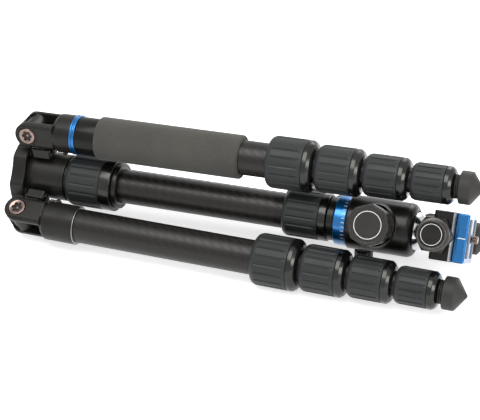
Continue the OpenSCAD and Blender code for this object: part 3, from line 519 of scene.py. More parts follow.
# Yoke of a leg: two round-ended ears on a collar, with bolt seats, a slot and a tube bore.
# In every field below, the last number of a meeting of two bodies is its edge in mm.
yokeForm = Form(
    halfWidth=13.8, earRadius=11.0, halfSlot=8.3, slotEnd=22.0, collarRadius=16.0, bevelFrom=20.0,
    bevelLength=5.5, collarEnd=38.6, pin=4.08, seatRadius=7.3, seatFloor=11.0, bore=14.03, boreFrom=23.7,
    springSeat=[(26, -3, -19.6), (29, 3, 0)], ringGroove=9.3, grooveHalf=0.35, grooveDepth=0.4,
    low=(-11.5, -16.5, -20.2), high=(39.2, 16.5, 16.5), step=0.5)


def yokeField(x, y, z):
    f = yokeForm
    around, fromPin, flat = hypot(y, z), hypot(x, z), slab(y, -f.halfWidth, f.halfWidth)
    ends = minimum(fromPin - f.earRadius, both(slab(x, 0, f.slotEnd + 1), abs(z) - f.earRadius))
    ears = both(both(ends, flat, 0.8), around - f.collarRadius, 0.6)
    slope = f.bevelLength / (f.collarRadius - f.earRadius)
    cone = (around - f.earRadius - (x - f.bevelFrom) / slope) * slope / hypot(1, slope)
    collar = both(both(slab(x, f.bevelFrom, f.collarEnd), around - f.collarRadius, 0.5), cone, 0.3)
    body = minimum(joined(ears, collar, 0.5), block(x, y, z, *f.springSeat, 0.4))
    body = less(body, both(x - f.slotEnd, abs(y) - f.halfSlot, 1.0), 0.5)
    body = less(body, both(fromPin - f.seatRadius, f.seatFloor - abs(y)), 0.5)
    groove = both(abs(fromPin - f.ringGroove) - f.grooveHalf, f.halfWidth - f.grooveDepth - abs(y))
    body = less(maximum(body, -groove), fromPin - f.pin, 0.2)
    return less(body, both(around - f.bore, f.boreFrom - x), 0.3)


# Pull tab: a block with two cheeks beside the ears and ridges across its lower face, and
# the pawl between the ears. The ridges are a cosine along x.
tabForm = Form(
    plate=[(2.4, -12.4, -20.4), (17.9, 12.4, -16.5)], cheek=[(2.4, 9.0, -20.4), (17.9, 12.4, -12.3)],
    pawl=[(11.1, -4.5, -2), (18.1, 4.5, 2)], neck=[(13.7, -4.5, -19.9), (18.1, 4.5, 2)], ridge=2.4,
    ridgeDepth=0.45, ridges=(2.6, 12.2), flank=0.7, low=(2.0, -12.9, -20.9), high=(18.6, 12.9, 2.4), step=0.4)


def tabField(x, y, z):
    f = tabForm
    plate = minimum(block(x, y, z, *f.plate, 1.0), block(x, abs(y), z, *f.cheek, 1.0))
    startX, _, bottom = f.plate[0]
    valley = f.ridgeDepth * np.clip(0.5 - 0.5 * cos(2 * pi * (x - startX) / f.ridge), 0, 1)
    valley = valley * ((x > f.ridges[0]) & (x < f.ridges[1]))
    plate = maximum(plate, (bottom + valley - z) * f.flank)
    body = minimum(plate, block(x, y, z, *f.pawl, 0.4))
    return joined(body, block(x, y, z, *f.neck, 0.5), 0.6)


# Twist lock: grooved rubber sleeve over a nut that ends in a bevelled metal ring. Along a
# groove the radius drops by depth * s(d), where d is the distance from its middle. The
# shoulder is steps along, drops in radius and roundings from the sleeve's start.
lockForm = Form(
    starts=[208.0, 247.8, 286.2, 323.2], lengths=[37.6, 36.2, 34.8, 33.4], radii=[21, 19, 17, 15], ring=7.5,
    bevel=3.8, noseStep=1.3, noseDrop=1.7, sleeve=2.0, cone=1.2,
    shoulder=[(0, 2.6, 0.3), (1.1, 1.1, 0.9), (3.6, 0.1, 1.6), (5, 0, 0)], grooves=18, depth=0.8,
    halfGroove=0.65, grooveFlank=0.3, grooveRunOut=1.2, skin=0.9, rim=4.0, turns=216, gap=0.3, fit=0.08,
    seatFrom=3, seatEnd=9.6, seatWall=1.5)


def smoothStep(low, high, t):
    t = np.clip((t - low) / (high - low), 0, 1)
    return t * t * (3 - 2 * t)


def groovesOn(radius, start, end):
    f = lockForm
    half, flank, runOut = f.halfGroove, f.grooveFlank, f.grooveRunOut

    def shift(angle, x, r):
        place = abs(np.mod(angle * f.grooves / (2 * pi), 1) - 0.5) * 2 * pi / f.grooves * radius
        inGroove = 1 - smoothStep(half - flank, half + flank, place)
        window = smoothStep(start, start + runOut, x) * (1 - smoothStep(end - runOut, end, x))
        return -f.depth * inGroove * window * (r > radius - f.skin)
    return shift


# nose is the outline of the metal ring beyond the sleeve
def twistLock(axes, radius, start, ringAt, end, thread, threadEnd, tube, nose):
    f = lockForm
    gap, inside = f.gap, thread + f.fit
    core = radius - f.sleeve
    cone, glued = min(f.cone, core - thread - gap), core + tubeForm.glue
    sleeve = turned(axes, [(start, core - cone + tubeForm.glue)] +
                    [(start + along, radius - drop, rounding) for along, drop, rounding in f.shoulder] +
                    [(ringAt, radius, 0.5), (ringAt, glued), (start + cone, glued)], f.turns,
                    groovesOn(radius, start + f.rim - 0.6, ringAt - f.sleeve + 0.6), fine=1.3)
    nut = turned(axes, [(start + gap, inside), (start + gap, core - cone), (start + gap + cone, core),
                        (ringAt + gap, core), (ringAt + gap, radius, 0.4)] + nose +
                       [(end, tube + gap), (threadEnd + f.seatEnd, tube + gap),
                        (threadEnd + f.seatEnd, tube + f.seatWall), (threadEnd + f.seatFrom, inside)], 128)
    return sleeve, nut


# Tubes 1 to 5: outer radius, wall, where they start and end; the ferrule's wall, the
# bush's length, the collet, and the film of glue on all that is fixed to a tube
tubeForm = Form(
    radii=[14, 12.5, 11, 9.5, 8], wall=1.2, starts=[24, 27, 30, 33, 36],
    ends=[229.0, 268.8, 307.2, 344.2, 369.5], ferrule=2.0, bush=20, glue=0.03, colletHead=3, colletLength=9,
    colletWall=1.2, colletRise=0.8)


def collet(axes, tube, top, start):
    f, fit = tubeForm, lockForm.fit
    return turned(axes, [(start, tube + fit), (start + f.colletLength, tube + fit),
                         (start + f.colletLength, tube + f.colletWall),
                         (start + f.colletHead, top), (start, top)], 72)


# Foot: rubber cone with a point, and a neck with two grooves, over a plug in the tube
footForm = Form(
    neckFrom=356.9, neck=9.5, start=360.5, radius=13.0, edge=1.0, cone=9.0, tip=0.8, end=378.5, rib=0.8,
    ribStarts=(1.0, 2.6), ribLength=0.4, overlap=0.4)
glue, wall, gap = tubeForm.glue, tubeForm.wall, lockForm.gap

for name in legNames:
    axes = legAxes[name]
    makePiece(name + "_yokeCasting", [(fieldSurface(axes, yokeField, yokeForm), castAlloy)], name,
              name + "_yoke")
    makePiece(name + "_pullTab", [(fieldSurface(axes, tabField, tabForm), blackAnodised)],
              name + "_angle_tab", name + "_angle_tab")
    nodes[name + "_tab_spring"].data.materials.clear()
    nodes[name + "_tab_spring"].data.materials.append(platedSteel)
    for n in range(5):
        r, start, end = tubeForm.radii[n], tubeForm.starts[n], tubeForm.ends[n]
        surfaces = [(turned(axes, ringOutline(start, end, r - wall, r, 0.3)), carbon)]
        if n < 4:
            lockStart, ferrule = lockForm.starts[n], r + tubeForm.ferrule
            corners = ringOutline(lockStart + gap, end, r + glue, ferrule, 0.3)
            surfaces += [(turned(axes, corners), blackAnodised),
                         (collet(axes, tubeForm.radii[n + 1], r + tubeForm.colletRise, end + gap), acetal)]
        if n > 0:
            outer = tubeForm.radii[n - 1] - wall - lockForm.fit
            corners = ringOutline(start, start + tubeForm.bush, r + glue, outer, 0.4)
            surfaces.append((turned(axes, corners), acetal))
        body = name if n == 0 else f"{name}_section_{n + 1}"
        makePiece(f"{name}_carbonTube_{n + 1}", surfaces, body, f"{name}_tube_{n + 1}")
    for n in range(4):
        f, r, start = lockForm, lockForm.radii[n], lockForm.starts[n]
        end = start + f.lengths[n]
        nose = [(end - f.ring / 2, r, 0.4), (end - f.noseStep, r - f.noseDrop, 0.3), (end, r - f.bevel, 0.3)]
        sleeve, nut = twistLock(axes, r, start, end - f.ring, end, tubeForm.radii[n] + tubeForm.ferrule,
                                tubeForm.ends[n], tubeForm.radii[n + 1], nose)
        makePiece(f"{name}_twistLock_{n + 1}", [(sleeve, lockRubber), (nut, gunmetal)],
                  f"{name}_lock_{n + 1}", f"{name}_lock_{n + 1}")
    f = footForm
    low, r, tubeEnd, bore = f.neckFrom, f.neck, tubeForm.ends[4], tubeForm.radii[4] + glue
    ribs = [(low + start + along, r - drop, 0.2) for start in f.ribStarts
            for along, drop in ((0, 0), (f.ribLength, f.rib), (2 * f.ribLength, 0))]
    neck = turned(axes, [(low, bore), (low, r, 0.3)] + ribs +
                  [(f.start + f.overlap, r), (f.start + f.overlap, bore)], 96)
    foot = turned(axes, [(f.start, bore), (f.start, f.radius, f.edge), (f.end - f.cone, f.radius, 0.8),
                         (f.end, f.tip, 0.4), (f.end, 0), (tubeEnd + glue, 0), (tubeEnd + glue, bore)], 96)
    plug = turned(axes, ringOutline(f.start, tubeEnd, 0, tubeForm.radii[4] - wall - glue), 48)
    makePiece(name + "_footRubber", [(foot, footRubber), (neck, lockRubber), (plug, clearAnodised)],
              name + "_section_5", name + "_foot")

# The two plain legs have a longer collar: a cast sleeve continues it, with a painted highlight at its end: a
# thin ring of pale metal
collarForm = Form(start=37.8, end=52.5, radius=16.04, line=(0.02, 0.5), lineDrops=(0.3, 0.5))
f, bore = collarForm, tubeForm.radii[0] + glue
for name in legNames[1:]:
    sleeve = turned(legAxes[name], ringOutline(f.start, f.end, bore, f.radius, 0.1, 0.5), 128)
    low, high = f.end + f.line[0], f.end + f.line[1]
    # painted highlight: a thin ring of pale metal on the sleeve's end edge
    edge = turned(legAxes[name], [(low, bore), (low, f.radius - f.lineDrops[0], 0.2),
                                  (high, f.radius - f.lineDrops[1], 0.2), (high, bore)], 128)
    makePiece(name + "_collarSleeve", [(sleeve, castAlloy), (edge, clearAnodised)], name, ())

# Foam grip of the leg that screws off
gripForm = Form(start=60.8, length=123.4, radius=17.75, edge=2.5)
axes, f = legAxes["grip_leg"], gripForm
foam = turned(axes, ringOutline(f.start, f.start + f.length, bore, f.radius, f.edge), 128)
makePiece("grip_leg_foamSleeve", [(foam, gripFoam)], "grip_leg", "grip_leg_foam_grip")

# Collar of that leg: a blue ring with a groove round its middle, and a black sleeve
screwCollarForm = Form(
    ring=(38.9, 43.3), ringRadius=16.6, groove=0.9, land=1.2, landEnd=1.6, sleeve=(43.33, 60.5),
    sleeveRadius=15.6)
f = screwCollarForm
low, high, r = *f.ring, f.ringRadius
ringBlue = turned(axes, [(low, bore), (low, r, 0.4), (low + f.land, r, 0.4),
                         (low + f.landEnd, r - f.groove, 0.2), (high - f.landEnd, r - f.groove, 0.2),
                         (high - f.land, r, 0.4), (high, r, 0.4), (high, bore)], 128)
sleeveBlack = turned(axes, ringOutline(*f.sleeve, bore, f.sleeveRadius, 0.3, 0.6), 128)
makePiece("grip_leg_unscrewCollar", [(ringBlue, blueAnodised), (sleeveBlack, glossBlack)], "grip_leg",
          "grip_leg_screw_collar")
print("stage: legs made")

# Spider: hub plate with drawn-in sides and a sunk face, barrel, threaded end, and three
# lugs with the notches that the pawls drop into. web is the outline (x, out) of the stay
# between a lug and the plate.
legDirections = [90, 210, 330]
spiderForm = Form(
    plate=(-13.0, -1.0), radius=29.0, hollow=50.0, drawIn=3.5, rim=1.4, sink=4.0, barrel=19.5,
    barrelStart=-12, barrelEnd=31.0, thread=17.4, threadEnd=58.0, bore=14.3, colletTop=16.2, hinge=42.0,
    lug=10.8, halfLug=8.0, notches=[156, 126, 100], notchDepth=2.2, halfNotch=2.3, pin=4.08, halfPin=20,
    web=[(-13, -16.5), (-9.35, -5.4), (5.4, -9.35), (-1, -13), (-1, -22.5), (-13, -22.5)],
    low=(-13.5, -50, -34), high=(58.5, 50, 53.5), step=0.6)


# A place (y, z) as its distances outwards and across, for a direction round the column
def outAndAcross(degrees, y, z):
    a = radians(degrees)
    return y * cos(a) + z * sin(a), y * sin(a) - z * cos(a)


def spiderField(x, y, z):
    f = spiderForm
    around = hypot(y, z)
    outline = around - f.radius
    for a in radians(np.add(legDirections, 60)):
        far = f.radius + f.hollow - f.drawIn
        outline = both(outline, f.hollow - hypot(y - far * cos(a), z - far * sin(a)), 1.0)
    body = both(outline, slab(x, *f.plate), 0.8)
    sunk = both(both(outline + f.rim, f.barrel - 0.5 - around), f.plate[1] - f.sink - x, 0.5)
    body = less(body, sunk, 0.4)
    for direction in legDirections:
        out, side = outAndAcross(direction, y, z)
        out = out - f.hinge
        lug = joined(hypot(x, out) - f.lug, polygon(x, out, f.web), 1.0)
        for notch in radians(f.notches):
            deep = f.lug - f.notchDepth - (x * cos(notch) + out * sin(notch))
            lug = less(lug, both(deep, abs(out * cos(notch) - x * sin(notch)) - f.halfNotch), 0.3)
        pin = hypot(x, out) - f.pin
        body = joined(body, less(both(lug, abs(side) - f.halfLug, 0.7), pin, 0.2), 1.6)
        body = less(body, both(pin, abs(side) - f.halfPin))
    body = joined(body, rod(around, f.barrel, x, f.barrelStart, f.barrelEnd, 0.6), 1.0)
    body = minimum(body, rod(around, f.thread, x, f.barrelStart, f.threadEnd, 0.3))
    return less(body, around - f.bore, 0.4)


f = spiderForm
spiderCollet = collet(columnAxes, tubeForm.radii[0], f.colletTop, f.threadEnd + gap)
makePiece("spiderCasting", [(fieldSurface(columnAxes, spiderField, f), castAlloy), (spiderCollet, acetal)],
          "spider", "spider")

# Hinge bolts: a dished round head at each end of a shank, each with a lobed socket round
# its tamper pin, and a black disc of painted shade on each socket's floor
boltForm = Form(
    headOut=14.28, head=3.2, headRadius=7.0, shank=4.0, halfShank=12, socketDepth=1.9, socket=3.1, lobe=1.45,
    pin=1.0, dish=6.0, slope=0.3, disc=4.6, discBelow=0.3, discAbove=0.12, low=(-7.3, -14.6, -7.3),
    high=(7.3, 14.6, 7.3), step=0.35)


def boltField(x, y, z):
    f = boltForm
    around, out = hypot(x, z), abs(y)
    heads = rod(around, f.headRadius, out, f.headOut - f.head, f.headOut, 0.6)
    lobes = around - f.socket
    for a in np.arange(6) * pi / 3:
        lobes = minimum(lobes, hypot(x - f.socket * cos(a), z - f.socket * sin(a)) - f.lobe)
    socket = maximum(both(lobes, f.headOut - f.socketDepth - out), f.pin - around)
    dish = both(around - f.dish, f.headOut - (f.dish - around) * f.slope - out)
    body = joined(heads, both(around - f.shank, out - f.halfShank), 0.2)
    return less(less(body, dish, 0.2), socket, 0.15)


bolts, f = [], boltForm
floorAt = f.headOut - f.socketDepth
# painted shade: a thin black disc on each socket's floor darkens the socket's recess
socketShadeDisc = ringOutline(floorAt - f.discBelow, floorAt + f.discAbove, 0, f.disc)
for direction in legDirections:
    pinAxes = pointing(direction, out=spiderForm.hinge)
    bolts.append((fieldSurface(pinAxes, boltField, f), platedSteel))
    for side in (1, -1):
        head = Axes(pinAxes.origin, side * pinAxes.y, pinAxes.z)
        bolts.append((turned(head, socketShadeDisc, 48), blackAnodised))
makePiece("hingeBoltSet", bolts, "spider", "hinge_bolts")
print("stage: spider made")

# Column: the lock on the spider, with its band and black end ring, and the lock on the tube.
# The plug closes the tube's lower end and has a mouth for the hook.
columnForm = Form(
    lockRadius=22.0, lockStart=33.2, ringAt=63.6, bandEnd=73.5, noseEnd=78.0, nose=18.0, endBore=16,
    upperRadius=19.0, upperStart=221.0, upperRingAt=250.8, upperEnd=257.4, tube=14.0, inner=12.5, start=-13.4,
    end=244.0, innerStart=8.0, innerEnd=264.17, plug=(-15.6, -13.43, 2.6), plugRim=14.4, plugRadius=15,
    plugBody=12.77, mouth=7.8, mouthFloor=-3.3, stemHole=2.8)
f = columnForm
band = [(f.bandEnd, f.lockRadius, 0.8), (f.bandEnd, f.nose + 0.6), (f.noseEnd - 0.2, f.nose + 0.6)]
sleeve, nut = twistLock(columnAxes, f.lockRadius, f.lockStart, f.ringAt, f.noseEnd, spiderForm.thread,
                        spiderForm.threadEnd, f.tube, band)
endRing = turned(columnAxes, ringOutline(f.bandEnd + 0.05, f.noseEnd, f.endBore, f.nose + 0.9, 0.6, 0.8), 128)
makePiece("spiderTwistLock", [(sleeve, lockRubber), (nut, gunmetal), (endRing, blackAnodised)], "column_lock",
          "column_lock")
ferrule = f.tube + tubeForm.ferrule
sleeve, nut = twistLock(columnAxes, f.upperRadius, f.upperStart, f.upperRingAt, f.upperEnd, ferrule,
                        f.end, f.inner, [(f.upperEnd, f.upperRadius, 0.8)])
makePiece("columnTwistLock", [(sleeve, lockRubber), (nut, gunmetal)], "upper_column_lock",
          "upper_column_lock")
outer = turned(columnAxes, ringOutline(f.start, f.end, f.tube - wall, f.tube, 0.3))
tubeFerrule = turned(columnAxes, ringOutline(f.upperStart + gap, f.end, f.tube + glue, ferrule, 0.3))
low, shoulder, high = f.plug
plug = turned(columnAxes, [(low, f.mouth), (low, f.plugRim, 0.8), (shoulder, f.plugRadius, 0.3),
                           (shoulder, f.plugBody), (high, f.plugBody), (high, f.stemHole),
                           (f.mouthFloor, f.stemHole), (f.mouthFloor, f.mouth)], 96)
columnCollet = collet(columnAxes, f.inner, f.tube + tubeForm.colletRise, f.end + gap)
makePiece("column_carbonTube", [(outer, carbon), (tubeFerrule, clearAnodised), (plug, blackAnodised),
                                (columnCollet, acetal)], "column", "column_tube")
inner = turned(columnAxes, ringOutline(f.innerStart, f.innerEnd, f.inner - wall, f.inner, 0.3, 0.0))
bush = turned(columnAxes, ringOutline(f.innerStart, f.innerStart + tubeForm.bush, f.inner + glue,
                                      f.tube - wall - lockForm.fit))
makePiece("inner_carbonTube", [(inner, carbon), (bush, acetal)], "inner_column", "inner_column")

# Bag hook: a flat loop sunk in the column's plug, with a round stem and a stop
hookForm = Form(
    start=-15.6, length=12.0, halfThickness=1.5, radius=7.5, loopShift=0.2, eye=4.0, eyeAt=-9.6, stem=2.5,
    stemFrom=-4.4, stop=4.0, stopLength=2.5, stemEnd=17.6, low=(-16, -4.3, -7.8), high=(20.4, 4.3, 7.8),
    step=0.35)


def hookField(x, y, z):
    f = hookForm
    around = hypot(y, z)
    loop = rod(hypot(x - f.eyeAt - f.loopShift, z), f.radius, x, f.start, f.start + f.length, 0.4)
    loop = both(loop, abs(y) - f.halfThickness, 0.7)
    loop = less(loop, hypot(x - f.eyeAt, z) - f.eye, 0.7)
    body = joined(loop, rod(around, f.stem, x, f.stemFrom, f.stemEnd), 0.6)
    return minimum(body, rod(around, f.stop, x, f.stemEnd, f.stemEnd + f.stopLength, 0.4))


makePiece("bagHookLoop", [(fieldSurface(columnAxes, hookField, hookForm), platedSteel)], "bag_hook",
          "column_bag_hook")
print("stage: column made")

# Pan base: trim ring, blue ring with white ticks along its head edge, a thin bright ring
# at its other edge, and the pivot
panForm = Form(
    trim=(257.8, 263.2), trimRadius=17.5, trimNeck=16.5, ring=(264.2, 274.1), ringRadius=20.0, ringBore=10.0,
    edge=(264.15, 264.9), edgeRadii=(19.4, 20.02), edgeBore=16.6, ticks=36, tickLength=2.6, tickWidth=0.5,
    tickFromEdge=1.0, tickPaint="#e6e8ea", core=10.5, coreFrom=264.3, pivot=9.0, pivotEnd=281.4)


# Blue anodised metal with white painted ticks where the way round, in pitches, has a
# fraction near one half, over the last stretch of the ring
def tickedFinish(name, look, form, around, tickMiddle):
    material = grainedFinish(name, **look)
    tree = material.node_tree
    shader = next(n for n in tree.nodes if n.type == "BSDF_PRINCIPLED")
    split = addNode(tree, "SeparateXYZ", links={0: addNode(tree, "UVMap", {"uv_map": "mmMap"})})
    pitch = around / form.ticks
    turns = addNode(tree, "Math", {"operation": "DIVIDE", 1: pitch}, {0: split})
    part = addNode(tree, "Math", {"operation": "PINGPONG", 1: 0.5}, {0: turns})
    edge = 0.5 - form.tickWidth / 2 / pitch
    isTick = addNode(tree, "Math", {"operation": "GREATER_THAN", 1: edge}, {0: part})
    isAlong = addNode(tree, "Math", {"operation": "COMPARE", 1: tickMiddle, 2: form.tickLength / 2},
                      {0: split.outputs[1]})
    painted = addNode(tree, "Math", {"operation": "MULTIPLY"}, {0: isTick, 1: isAlong})
    tone = addNode(tree, "Mix", {"data_type": "RGBA", 7: linear(form.tickPaint)},
                   {0: painted, 6: shader.inputs["Base Color"].links[0].from_socket})
    tree.links.new(tone.outputs[2], shader.inputs["Base Color"])
    metallic = {"To Min": look.shader["Metallic"], "To Max": 0.0}
    metal = addNode(tree, "MapRange", metallic, {"Value": painted})
    tree.links.new(metal.outputs[0], shader.inputs["Metallic"])
    return material


f = panForm
way = f.ringRadius - f.ringBore + f.ring[1] - f.ring[0]
tickedBlue = tickedFinish("blueAnodisedScale", blueLook, f, 8 * round(2 * pi * f.ringRadius / 8),
                          way - f.tickFromEdge - f.tickLength / 2)
ring = turned(columnAxes, ringOutline(*f.ring, f.ringBore, f.ringRadius, 0.8), 144)
(low, high), innerBore = f.trim, columnForm.inner + glue
trim = turned(columnAxes, [(low, innerBore), (low, f.trimRadius, 0.6), (high, f.trimRadius, 0.6),
                           (high, f.trimNeck), (f.ring[0], f.trimNeck), (f.ring[0], innerBore)], 128)
low, high = f.edge
edge = turned(columnAxes, [(low, f.edgeBore), (low, f.edgeRadii[0], 0.2), (high, f.edgeRadii[1], 0.2),
                           (high, f.edgeBore)], 144)
pivot = turned(columnAxes, [(f.coreFrom, 0), (f.coreFrom, f.core), (f.ring[1], f.core),
                            (f.ring[1], f.pivot), (f.pivotEnd, f.pivot, 0.4), (f.pivotEnd, 0)], 64)
makePiece("panScaleRing", [(ring, tickedBlue), (trim, blackAnodised), (edge, clearAnodised),
                           (pivot, clearAnodised)], "inner_column", "pan_base")

# Ball head: turned body with bevelled mouth, ball seat, drop slot and the two knob bosses.
# knobBore and panKnobBore are how far from the axis the bores for their shafts start.
headForm = Form(
    start=274.4, end=327.9, radius=21.5, bevel=4.0, ballAt=322.9, seat=16.4, knobAt=297.8, boss=16.6,
    bossTop=26.0, shaft=3.08, knobBore=11.7, panKnobAt=285.0, panBoss=6.9, panBossTop=22.9, panKnobBore=9.6,
    slot=6.8, pivot=9.08, pivotEnd=281.7, low=(274, -25.5, -23.5), high=(328.5, 22, 23), step=0.5)
knobDirection, panKnobDirection = 150, 270


def headField(x, y, z):
    f = headForm
    around = hypot(y, z)
    body = rod(around, f.radius, x, f.start, f.end, 1.0)
    mouth = (x - f.end + around - f.radius + f.bevel * 0.9) / np.sqrt(2)
    body = both(body, mouth, 1.6)
    out, side = outAndAcross(knobDirection, y, z)
    fromKnob = hypot(x - f.knobAt, side)
    body = joined(body, rod(fromKnob, f.boss, out, 0, f.bossTop, 0.8), 1.5)
    panOut, panSide = outAndAcross(panKnobDirection, y, z)
    fromPanKnob = hypot(x - f.panKnobAt, panSide)
    body = joined(body, rod(fromPanKnob, f.panBoss, panOut, 0, f.panBossTop, 0.5), 1.0)
    body = less(body, both(fromKnob - f.shaft, f.knobBore - out), 0.2)
    body = less(body, both(fromPanKnob - f.shaft, f.panKnobBore - panOut), 0.2)
    body = less(body, hypot(around, x - f.ballAt) - f.seat, 0.7)
    slot = minimum(hypot(x - f.ballAt, side) - f.slot, both(f.ballAt - x, abs(side) - f.slot))
    body = less(body, both(slot, out), 0.7)
    return less(body, both(around - f.pivot, x - f.pivotEnd), 0.3)


makePiece("ballHeadBody", [(fieldSurface(columnAxes, headField, headForm), blackAnodised)], "head",
          "head_body")


# White ring line on a knob's face, sunk a little into it
def ringLine(axes, face, form, turns):
    inner, outer = form.line, form.line + form.lineWidth
    low, high = face - 0.2, face + form.lineRise
    return turned(axes, [(low, inner), (high, inner, 0.05), (high, outer, 0.05), (low, outer)], turns)


# Ball-lock knob: lobed nylon rim, sunk face with a white ring line, and stepped rings below
knobForm = Form(
    radius=16.5, rim=15.7, lobes=8, lobe=4.4, base=29.9, top=45.0, face=13.9, faceSink=0.5, line=10.4,
    lineWidth=0.5, lineRise=0.03, ringBase=26.3, ringRadius=15.6, ringStep=1.6, ringDrop=0.9, shaft=3.0,
    shaftFrom=12.0, low=(-17, -17, 29.5), high=(17, 17, 45.5), step=0.4)


def knobField(x, y, z):
    f = knobForm
    around = hypot(x, y)
    rim = around - f.rim
    place = f.radius - f.lobe
    for a in np.arange(f.lobes) * 2 * pi / f.lobes:
        rim = joined(rim, hypot(x - place * cos(a), y - place * sin(a)) - f.lobe, 0.6)
    body = both(rim, slab(z, f.base, f.top), 1.1)
    return less(body, both(around - f.face, f.top - f.faceSink - z), 0.3)


f, knobAxes = knobForm, pointing(knobDirection, along=headForm.knobAt)
out, low, r = knobAxes.outward(), f.ringBase, f.ringRadius
mid, high = low + f.ringStep, f.base - 0.05
steps = turned(out, [(f.shaftFrom, 0), (f.shaftFrom, f.shaft), (low, f.shaft), (low, r, 0.5),
                     (mid, r, 0.4), (mid, r - f.ringDrop, 0.2), (high, r - f.ringDrop), (high, 0)], 96)
makePiece("ballLockKnobRim", [(fieldSurface(knobAxes, knobField, f), knobNylon), (steps, gunmetal),
                              (ringLine(out, f.top - f.faceSink, f, 96), indexPaint)],
          "ball_lock_knob", "ball_lock_knob")

# Pan-lock knob: small round grip with eight flutes, on its shaft
panKnobForm = Form(
    radius=7.5, base=23.2, top=35.0, flutes=8, fluteAt=8.5, flute=1.5, shaft=3.0, shaftFrom=9.9,
    low=(-7.8, -7.8, 9.6), high=(7.8, 7.8, 35.3), step=0.35)


def panKnobField(x, y, z):
    f = panKnobForm
    around = hypot(x, y)
    body = rod(around, f.radius, z, f.base, f.top, 0.9)
    for a in np.arange(f.flutes) * 2 * pi / f.flutes:
        flute = hypot(x - f.fluteAt * cos(a), y - f.fluteAt * sin(a)) - f.flute
        body = less(body, both(flute, f.base + 1 - z), 0.3)
    return minimum(body, rod(around, f.shaft, z, f.shaftFrom, f.base + 1))


panKnobAxes = pointing(panKnobDirection, along=headForm.panKnobAt)
makePiece("panLockKnobGrip", [(fieldSurface(panKnobAxes, panKnobField, panKnobForm), blackAnodised)],
          "pan_lock_knob", "pan_lock_knob")

# Ball and stem: the sphere's profile is r = sqrt(R^2 - (x - c)^2), and it runs into the stem
ballForm = Form(at=322.9, radius=16.0, stem=6.2, flare=10.0, flareLength=1.5, end=341.97)
f = ballForm
t = np.linspace(pi, np.arcsin(f.stem / f.radius), 48)
ballProfile = [(f.at + f.radius * cos(a), max(0.0, f.radius * sin(a))) for a in t]
ballProfile += [(f.end - f.flareLength, f.stem, 0.5), (f.end, f.flare, 0.2), (f.end, 0)]
ballProfile[0] = (f.at - f.radius, 0.0)
makePiece("polishedBall", [(turned(columnAxes, ballProfile, 96), polishedSteel)], "ball", "ball_and_stem")
print("stage: head made")

# Clamp: its profile in (x, z) is drawn through y, with z towards the clamp knob
clampForm = Form(
    half=19.2, start=342.0, floor=356.0, lip=360.5, bevel=2.8, chamfer=1.4, neck=14.7, foot=16.5,
    neckAt=359.9, footAt=357.1, cheek=13.7, gap=0.3, shaftAt=345.8, shaft=2.58, shaftFrom=3.7, socket=5.2,
    socketEnd=348.0, low=(341.5, -19.7, -19.7), high=(361, 19.7, 14.2), step=0.4)
jawGrid = Form(low=(343, -19.7, 13.5), high=(361, 19.7, 19.7), step=0.35)


# The side of a jaw from the dovetail's foot to the outer end of the bevelled lip
def jawSide():
    f = clampForm
    return [(f.footAt, f.foot), (f.neckAt, f.neck), (f.lip, f.neck),
            (f.lip, f.half - f.bevel), (f.lip - f.bevel, f.half)]


# A profile drawn to the clamp's width, with the bore for the knob's shaft
def clampBody(x, y, z, profile, edge):
    f = clampForm
    body = both(polygon(x, z, profile), abs(y) - f.half, edge)
    return less(body, both(hypot(x - f.shaftAt, y) - f.shaft, f.shaftFrom - z), 0.2)


def clampBaseField(x, y, z):
    f = clampForm
    inside = f.start + f.chamfer
    profile = [(f.start, f.chamfer - f.half), (inside, -f.half)]
    profile += [(a, -b) for a, b in jawSide()[::-1]]
    profile += [(f.floor, -f.foot), (f.floor, f.cheek), (inside, f.cheek), (f.start, f.cheek - f.chamfer)]
    return less(clampBody(x, y, z, profile, 0.5), both(hypot(y, z) - f.socket, x - f.socketEnd), 0.3)


def clampJawField(x, y, z):
    f = clampForm
    inside, floorAt, cheek = f.start + f.chamfer, f.floor - f.gap, f.cheek + f.gap
    profile = [(inside, cheek), (floorAt, cheek), (floorAt, f.foot)] + jawSide()
    profile += [(f.start + 2 * f.chamfer, f.half), (inside, f.half - f.chamfer)]
    return clampBody(x, y, z, profile, 0.3)


clampAxes = pointing(knobDirection)
makePiece("clampBaseBlock", [(fieldSurface(clampAxes, clampBaseField, clampForm), blackAnodised)], "ball",
          "clamp_base")


# Bar with the outline (x, z) and ends at y0 and y1
def bar(axes, outline, y0, y1):
    outline = np.array(outline, float)
    middle = 0 * outline + outline.mean(0)
    ends = np.stack([middle, outline, outline, middle], 1)
    places = axes.points(ends[..., 0], np.array([y0, y0, y1, y1]), ends[..., 1])
    return gridSurface(places, 8, np.array([0, 1, 1 + y1 - y0, 2 + y1 - y0]))


# Painted highlight on the jaw's bevel: a thin bar of pale metal lies just proud of it
bevelHighlightForm = Form(inset=0.3, under=0.28, depth=0.2, half=18.8)
f, b = clampForm, bevelHighlightForm
lowX, lowZ = f.lip - f.bevel + b.inset, f.half - b.under
highX, highZ = f.lip - b.under, f.half - f.bevel + b.inset
# painted highlight: pale bar along the jaw's bevel, where the bevel catches the light
bevelHighlightBar = bar(clampAxes, [(lowX - b.depth, lowZ - b.depth), (lowX, lowZ), (highX, highZ),
                              (highX - b.depth, highZ - b.depth)], -b.half, b.half)
makePiece("clampSlidingJaw", [(fieldSurface(clampAxes, clampJawField, jawGrid), blackAnodised),
                              (bevelHighlightBar, clearAnodised)], "jaw", "clamp_jaw")

# Clamp knob: six-sided grip with a sloped shoulder, round cap with a groove round it, and
# a sunk black face with a white ring line
clampKnobForm = Form(
    flat=13.25, base=20.4, hexTop=29.6, shoulder=12.65, slope=0.94, cap=11.6, top=36.4, face=10.4,
    faceSink=0.5, line=7.9, lineWidth=0.4, lineRise=0.08, grooveAt=2.6, grooveDepth=0.4, grooveHalf=0.35,
    disc=(0.4, 0.04), shaft=2.5, shaftFrom=4.0, low=(-15.6, -15.6, 3.5), high=(15.6, 15.6, 36.8), step=0.35)


